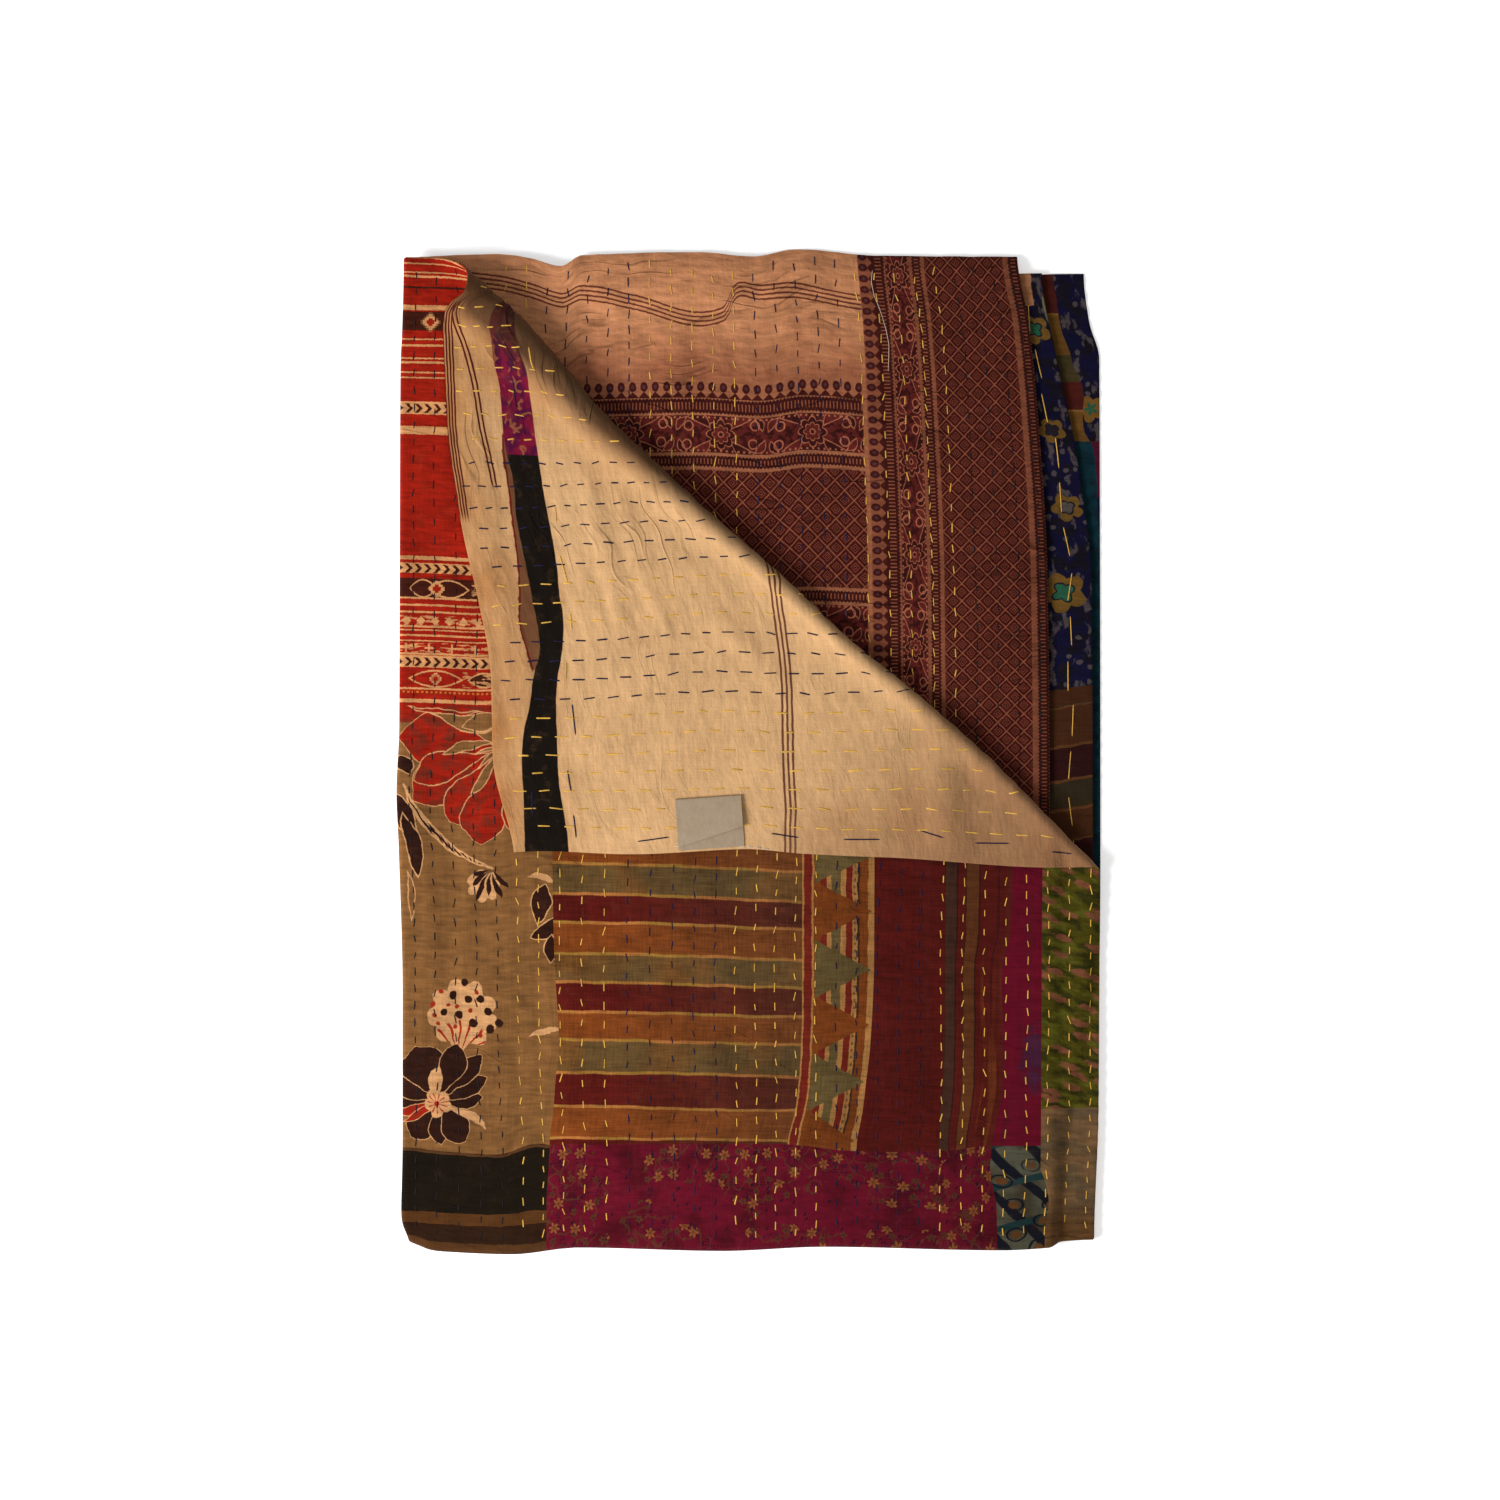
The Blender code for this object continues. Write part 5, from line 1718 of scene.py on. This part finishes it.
# The cloths: what draws each one, and its own values.
CLOTHS = {
    "left_print": (draw_left_print, {"worn": (110, 64, 40), "pucker": 1.1, "clouds": 0.6}),
    "dark_stripes": (draw_dark_stripes, {"worn": (60, 44, 30)}),
    "striped_cloth": (draw_stripes, {
        "worn": (84, 52, 30), "slub": 0.7, "clouds": 0.9, "wear": 0.45,
    }),
    "triangle_border": (draw_border, {
        "worn": (84, 52, 30), "slub": 0.65, "clouds": 0.8, "wear": 0.4,
    }),
    "brick_cloth": (draw_brick, {"worn": (60, 24, 24), "slub": 0.6, "clouds": 0.8}),
    "strip_cloth": (draw_strips, {"worn": (60, 34, 26), "slub": 0.5}),
    "crimson_cloth": (draw_crimson, {"worn": (80, 30, 46), "pucker": 0.6}),
    "leaf_cloth": (draw_leaf, {"worn": (90, 74, 40), "pucker": 1.2}),
    "brown_cloth": (draw_brown, {"worn": (70, 50, 34), "pucker": 1.2, "pinch": 0.6}),
    "magenta_print": (draw_magenta_print, {"worn": (112, 44, 50)}),
    "banded_print": (draw_banded_print, {"worn": (80, 66, 50)}),
    "plain_cotton": (lambda art: chosen("cotton"), {"worn": (150, 104, 66)}),
    "corner_cotton": (draw_corner_cotton, {
        "worn": (168, 120, 78), "clouds": 0.3, "slub": 0.2, "wear": 0.1, "pucker": 0.35,
        "crease": 1.5, "pinch": lambda art: ((470 - art.u) / 270).most(0.2),
    }),
    "sari": (draw_sari, {
        "worn": (120, 70, 48), "clouds": 0.35, "slub": 0.25, "wear": 0.2, "pucker": 0.9,
        "crease": 2.2, "pinch": 1,
    }),
    "navy_print": (draw_third_layer, {"worn": (50, 36, 30)}),
    "edge_cloth": (draw_edge_cloth, {"worn": (50, 36, 30)}),
}


def cloth(name):
    """The cloth of this name, made when it is first asked for."""
    draw, values = CLOTHS[name]
    return bpy.data.materials.get(name) or cloth_material(name, draw, **values)


def thread_material():
    """Spun cotton thread: the attribute picks the colour, and noise gives worn places."""
    material, art = new_material("quilting_thread")
    pick = art.node("Attribute", attribute_name="thread").outputs["Fac"]
    colour = art.stripes(Field(art, pick), 0, 5, chosen("yellow_thread"), (
        (0.5, 1.5, chosen("blue_thread")), (1.5, 2.5, chosen("dark_thread")),
        (2.5, 3.5, (196, 178, 156)),
    ))
    fade = 1 + (art.noise(30, 2, seed=51) - 0.5) * 0.9 + (art.noise(1.1, 1, seed=52) - 0.5) * 0.7
    twist = ((art.u + art.v) * 5.2).apply("SINE") * 0.06 + art.noise(0.8, 1, seed=53) * 0.1
    finish(art, art.shaded(colour, fade), twist, Roughness=0.7, Specular_IOR_Level=0.15)
    return material


def label_material():
    """Blank woven satin with fine ribs across, with grime in places."""
    material, art = new_material("label_satin")
    ribs = (art.v * 9.5).apply("SINE")
    soil_and_painted_shade = (art.noise(14, 3, seed=54) - 0.5) * 1.6
    colour = art.shaded(art.mix(chosen("label"), (140, 116, 88), soil_and_painted_shade.most(0)), 1 + ribs * 0.05)
    height = ribs * 0.03 + art.noise(9, 2, seed=55) * 0.5
    finish(art, colour, height, Roughness=0.5, Sheen_Weight=0.2)
    return material


def floor_material():
    """Plain pale floor with a faint grain."""
    material, art = new_material("floor")
    grain = 0.99 + (art.noise(3, 2, seed=56) - 0.5) * 0.02
    light = {"Emission_Color": (1, 1, 1, 1), "Emission_Strength": 0.42}
    finish(art, art.shaded(linear(250, 250, 250), grain), Roughness=0.9, **light)
    return material


# The patches of side A on the top layer: cloth, then u from and to and v from and to, in mm.
OUTER_PATCHES = (
    ("left_print", -10, 139, FOOT_SEAM, 950),
    ("dark_stripes", -10, 139, -10, FOOT_SEAM),
    ("striped_cloth", 139, 362.5, FOOT_SEAM, 950),
    ("triangle_border", 362.5, 428, FOOT_SEAM, 950),
    ("brick_cloth", 428, 490.5, FOOT_SEAM, 950),
    ("strip_cloth", 490.5, 550.5, FOOT_SEAM, 950),
    ("crimson_cloth", 550.5, 579, FOOT_SEAM, 950),
    ("leaf_cloth", 579, 700, LEAF_SEAM, 950),
    ("brown_cloth", 579, 700, -10, LEAF_SEAM),
    ("magenta_print", 139, 550.5, -10, FOOT_SEAM),
    ("banded_print", 550.5, 579, -10, FOOT_SEAM),
)


def whole(name, on_a):
    """A patch over the whole of one side."""
    return (cloth(name), on_a, -10, 700, -10, 950)


def patchwork():
    return [(cloth(name), True, *limits) for name, *limits in OUTER_PATCHES]


class TopLayerOperator(bpy.types.Operator):
    """Adds the top layer up to the roll, with its patchwork side up."""

    bl_idname = "kantha.top_layer"
    bl_label = "Top Layer"

    def execute(self, context):
        patches = [whole("plain_cotton", False), *patchwork()]
        quilt_piece("top_layer", top_layer_grid(), True, True, patches, True)
        return {"FINISHED"}


class TurnedCornerOperator(bpy.types.Operator):
    """Adds the corner that is turned back over the roll, with its plain cotton side up."""

    bl_idname = "kantha.turned_corner"
    bl_label = "Turned Corner"

    def execute(self, context):
        patches = [whole("corner_cotton", False), *patchwork()]
        quilt_piece("turned_corner", turned_corner_grid(), True, True, patches, False)
        return {"FINISHED"}


class SecondLayerOperator(bpy.types.Operator):
    """Adds the second layer, whose sari side shows beside the turned corner."""

    bl_idname = "kantha.second_layer"
    bl_label = "Second Layer"

    def execute(self, context):
        columns = lines_through((WIDTH_MM,), 4.2, FOLD_LINES)
        low = lines_through((330,), 12, LOWER_FOLD_LINES, hem=False)
        rows = np.concatenate((low, lines_through((890,), 4.2, (330,))[1:]))
        patches = (whole("brick_cloth", True), whole("sari", False))
        quilt_piece("second_layer", np.meshgrid(columns, rows), False, True, patches, False)
        return {"FINISHED"}


class LowerLayersOperator(bpy.types.Operator):
    """Adds the two lower layers, which show at the right beyond the upper ones."""

    bl_idname = "kantha.lower_layers"
    bl_label = "Lower Layers"

    def execute(self, context):
        wide = lines_through((540,), 14, FOLD_LINES, hem=False)
        columns = np.concatenate((wide, lines_through((WIDTH_MM,), 4, (540,))[1:]))
        grid = np.meshgrid(columns, lines_through((890,), 7, LOWER_FOLD_LINES))
        third = (whole("navy_print", True), whole("plain_cotton", False))
        quilt_piece("third_layer", grid, False, False, third, True)
        bottom = (whole("brick_cloth", True), whole("edge_cloth", False))
        quilt_piece("bottom_layer", grid, True, False, bottom, False)
        return {"FINISHED"}


def label_places(across, along):
    """Place of the label's middle surface before it is set down: across runs over its width, and
    along is 0 to 1 up the lower leaf, 1 to 2 round the fold and 2 to 3 down the upper leaf."""
    side = (across + 1) / 2
    hang = LABEL_OVERHANG[0] * (1 - side) + LABEL_OVERHANG[1] * side
    turned = np.clip(along - 1, 0, 1) * np.pi
    back = np.clip(along - 2, 0, None)
    lift = LABEL_LIFT * side * eased_step(back)
    x = across * LABEL_WIDTH / 2
    y = np.minimum(along, 1) * LABEL_RISE + LABEL_BEND * np.sin(turned) - back * hang
    z = LABEL_BEND * (1 - np.cos(turned)) + lift
    cos, sin = math.cos(LABEL_TURN), math.sin(LABEL_TURN)
    return LABEL_MIDDLE[0] + x * cos - y * sin, LABEL_MIDDLE[1] + x * sin + y * cos, z


def label_seat():
    """How far the label's places are moved to lie where its solid does."""
    along, across = np.meshgrid(np.linspace(0, 3, 40), np.linspace(-1, 1, 9))
    lowest = label_places(across, along)[2].min() - LABEL_THICK / 2
    return np.array((-PILE_CENTRE[0], -PILE_CENTRE[1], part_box("sewn_label")[0].z - lowest))


class LabelOperator(bpy.types.Operator):
    """Adds the folded label, which is left blank."""

    bl_idname = "kantha.label"
    bl_label = "Label"

    def execute(self, context):
        parts = (np.linspace(0, 1, 16), np.linspace(1, 2, 9)[1:], np.linspace(2, 3, 16)[1:])
        along = np.concatenate(parts)
        across, along = np.meshgrid(np.linspace(-1, 1, 25), along)
        tiny = 1e-3

        def at(more_across, more_along):
            return np.stack(label_places(across + more_across, along + more_along), -1)

        middle = at(0, 0) + label_seat()
        normal = np.cross(at(tiny, 0) - at(-tiny, 0), at(0, tiny) - at(0, -tiny))
        normal *= LABEL_THICK / 2 / np.linalg.norm(normal, axis=-1, keepdims=True)
        points, faces = closed_grid(middle + normal, middle - normal)
        label = make_mesh("folded_label", points, faces, [label_material()])
        on_root(label, "label_satin", "sewn_label")
        return {"FINISHED"}


# Thread of the rows: up to this row, this thread. 0 is yellow, 1 blue, 2 near black and 3 white.
OUTER_SHADES = ((5, 2), (10, 0), (15, 1), (20, 0), (25, 1), (33, 0))
CORNER_SHADES = ((12, 0), (18, 1), (21, 0), (25, 1), (32, 0), (33, 1))
INNER_SHADES = ((6, 0), (11, 1), (16, 0), (21, 1), (26, 0), (30, 2))

# Long tacking stitches on the turned corner, as (across, along, across, along, thread) in mm of
# cloth, with a row of small white ones along the foot of the label.
CORNER_TACKS = (
    (617, 774, 613, 741, 1), (612, 652, 614, 626, 1), (614, 588, 613, 552, 1),
    (612, 466, 610, 430, 1), (603, 517, 609, 493, 1), (616, 392, 617, 371, 1),
    (475, 816, 509, 814, 1), (543, 824, 568, 825, 1), (590, 828, 616, 830, 1),
    (565, 860, 592, 866, 1), (174, 827, 201, 824, 1), (144, 807, 164, 803, 0),
    (283, 798, 300, 801, 0), (329, 806, 359, 805, 0), (386, 808, 404, 810, 0),
    (434, 819, 453, 821, 0),
    *((622.9 + 0.5 * k, 739 - 7.2 * k, 623.1 + 0.5 * k, 734.4 - 7.2 * k, 3) for k in range(12)),
)
# Long ones on the third layer, counted from this line of its cloth.
THIRD_TACK_LINE = 580
THIRD_TACKS = [
    (15 + 2 * (k % 3), 41 * k - 862, 19 - 3 * (k % 2), 41 * k - 833, 0) for k in range(13)
]

# A white loose thread on the second layer: (across, along) in mm.
LOOSE_THREAD = (
    (438.6, 878.7), (436, 866), (437.2, 854), (442, 838), (445.3, 823), (447, 811), (446.2, 799),
    (444.4, 781.5),
)


def shade_of(row, table):
    """Thread of each row."""
    limits, shades = np.array(table).T
    return shades[np.searchsorted(limits, row, side="right")]


def past_mm(across, along):
    """How far past the crease a place of the cloth is, in mm."""
    return past_crease(across * MM, np.abs(along) * MM)[1] / MM


def seen_on_top(across, along):
    """Short of the roll, and not under the corner."""
    return (past_mm(across, along) < 12) & ~((across > 118) & (along > 385))


def seen_on_corner(across, along):
    return past_mm(across, along) > 20


def seen_on_second(across, along):
    return past_mm(across, along) > -22


def tacks(rows):
    """Places along straight tacking stitches, as (threads, points, 2), and their threads."""
    rows = np.array(rows, float)
    share = np.linspace(0, 1, 9)[None, :, None]
    return rows[:, None, 0:2] * (1 - share) + rows[:, None, 2:4] * share, rows[:, 4]


class StitchOperator(bpy.types.Operator):
    """Adds the running stitches and long tacks on the cloth that is seen, and a loose thread."""

    bl_idname = "kantha.stitches"
    bl_label = "Running Stitches"

    def execute(self, context):
        cotton = thread_material()
        random = np.random.default_rng(STITCH_SEED - 6)
        width = context.scene.kantha_sizes.thread

        def add(name, outer, side_a, ends, half, shades):
            paths, out = cloth_threads(outer, side_a, ends)
            widths = np.broadcast_to(half, (len(paths),))
            on_root(thread_tubes(name, paths, out, widths, shades, cotton), "quilted_cotton")

        for name, outer, side_a, rows, keep, table in (
            ("top_stitches", True, True, range(33), seen_on_top, OUTER_SHADES),
            ("corner_stitches", True, False, range(32), seen_on_corner, CORNER_SHADES),
            ("second_stitches", False, False, range(30), seen_on_second, INNER_SHADES),
        ):
            stitch = OUTER_STITCH if outer else INNER_STITCH
            fuller, last = (1.3, 1.5) if name == "corner_stitches" else (1, 1)
            ends, row = running_stitches(stitch, side_a, rows, keep, random, last)
            half = fuller * width * random.uniform(0.85, 1.15, len(row))
            add(name, outer, side_a, ends, half, shade_of(row, table))

        ends, shades = tacks(CORNER_TACKS)
        add("corner_tacks", True, False, ends, 1.2 * width, shades)
        rows = np.array(THIRD_TACKS, float)
        rows[:, (0, 2)] = THIRD_TACK_LINE - rows[:, (0, 2)]
        ends, shades = tacks(rows)
        add("third_layer_tacks", False, True, ends, 0.9 * width, shades)
        route = np.array(LOOSE_THREAD)
        share = np.linspace(0, len(route) - 1, 6 * len(route))
        ends = np.stack([np.interp(share, np.arange(len(route)), column) for column in route.T], -1)
        add("loose_thread", False, False, ends[None], 0.6 * width, [3])
        return {"FINISHED"}


def looking(place, target):
    """Turn of a lamp or camera at a place so that it looks at a target."""
    return (Vector(target) - Vector(place)).to_track_quat("-Z", "Y").to_euler()


def add_lamp(name, place, energy, size):
    lamp = bpy.data.objects.new(name, bpy.data.lights.new(name, "AREA"))
    lamp.data.energy, lamp.data.size = energy, size
    lamp.location, lamp.rotation_euler = place, looking(place, (0, 0, 0))
    bpy.context.scene.collection.objects.link(lamp)


class StageOperator(bpy.types.Operator):
    """Adds the floor, the lights and the camera."""

    bl_idname = "kantha.stage"
    bl_label = "Stage"

    def execute(self, context):
        scene = context.scene
        corners = FLOOR_REACH * np.array([(-1, -1, 0), (1, -1, 0), (1, 1, 0), (-1, 1, 0)], float)
        floor = make_mesh("floor", corners, np.array([(0, 1, 2, 3)]), [floor_material()])
        camera = bpy.data.objects.new("camera", bpy.data.cameras.new("camera"))
        scene.collection.objects.link(camera)
        camera.data.lens = 120
        camera.data.clip_end = 50
        height = PICTURE_WIDTH * camera.data.lens / camera.data.sensor_width
        camera.location = (*PICTURE_MIDDLE, height)
        scene.camera = camera
        world = bpy.data.worlds.new("world")
        world.use_nodes = True
        background = world.node_tree.nodes["Background"].inputs
        background["Color"].default_value, background["Strength"].default_value = (1, 1, 1, 1), 0.42
        scene.world = world
        add_lamp("key", (-2.1, -0.9, 1.75), 98, 1.2)
        scene.view_settings.view_transform = "Standard"
        return {"FINISHED"}


class QuiltPanel(bpy.types.Panel):
    """Lists the pieces of the quilt, their sizes and their colours."""

    bl_idname = "VIEW3D_PT_kantha"
    bl_label = "Kantha Quilt"
    bl_space_type = "VIEW_3D"
    bl_region_type = "UI"
    bl_category = "Kantha Quilt"

    def draw(self, context):
        for step in STEPS:
            self.layout.operator(step.bl_idname)
        for settings in (context.scene.kantha_sizes, context.scene.kantha_colours):
            for name in settings.bl_rna.properties.keys()[2:]:
                self.layout.prop(settings, name)


STEPS = (
    TopLayerOperator, TurnedCornerOperator, SecondLayerOperator, LowerLayersOperator, LabelOperator,
    StitchOperator, StageOperator,
)
CLASSES = (QuiltSizes, QuiltColours, *STEPS, QuiltPanel)


def register():
    for new in CLASSES:
        bpy.utils.register_class(new)
    bpy.types.Scene.kantha_sizes = PointerProperty(type=QuiltSizes)
    bpy.types.Scene.kantha_colours = PointerProperty(type=QuiltColours)


def unregister():
    del bpy.types.Scene.kantha_sizes, bpy.types.Scene.kantha_colours
    for old in reversed(CLASSES):
        bpy.utils.unregister_class(old)


def main():
    register()
    make_groups()
    for step in STEPS:
        getattr(bpy.ops.kantha, step.bl_idname.split(".")[1])()


if __name__ == "__main__":
    main()
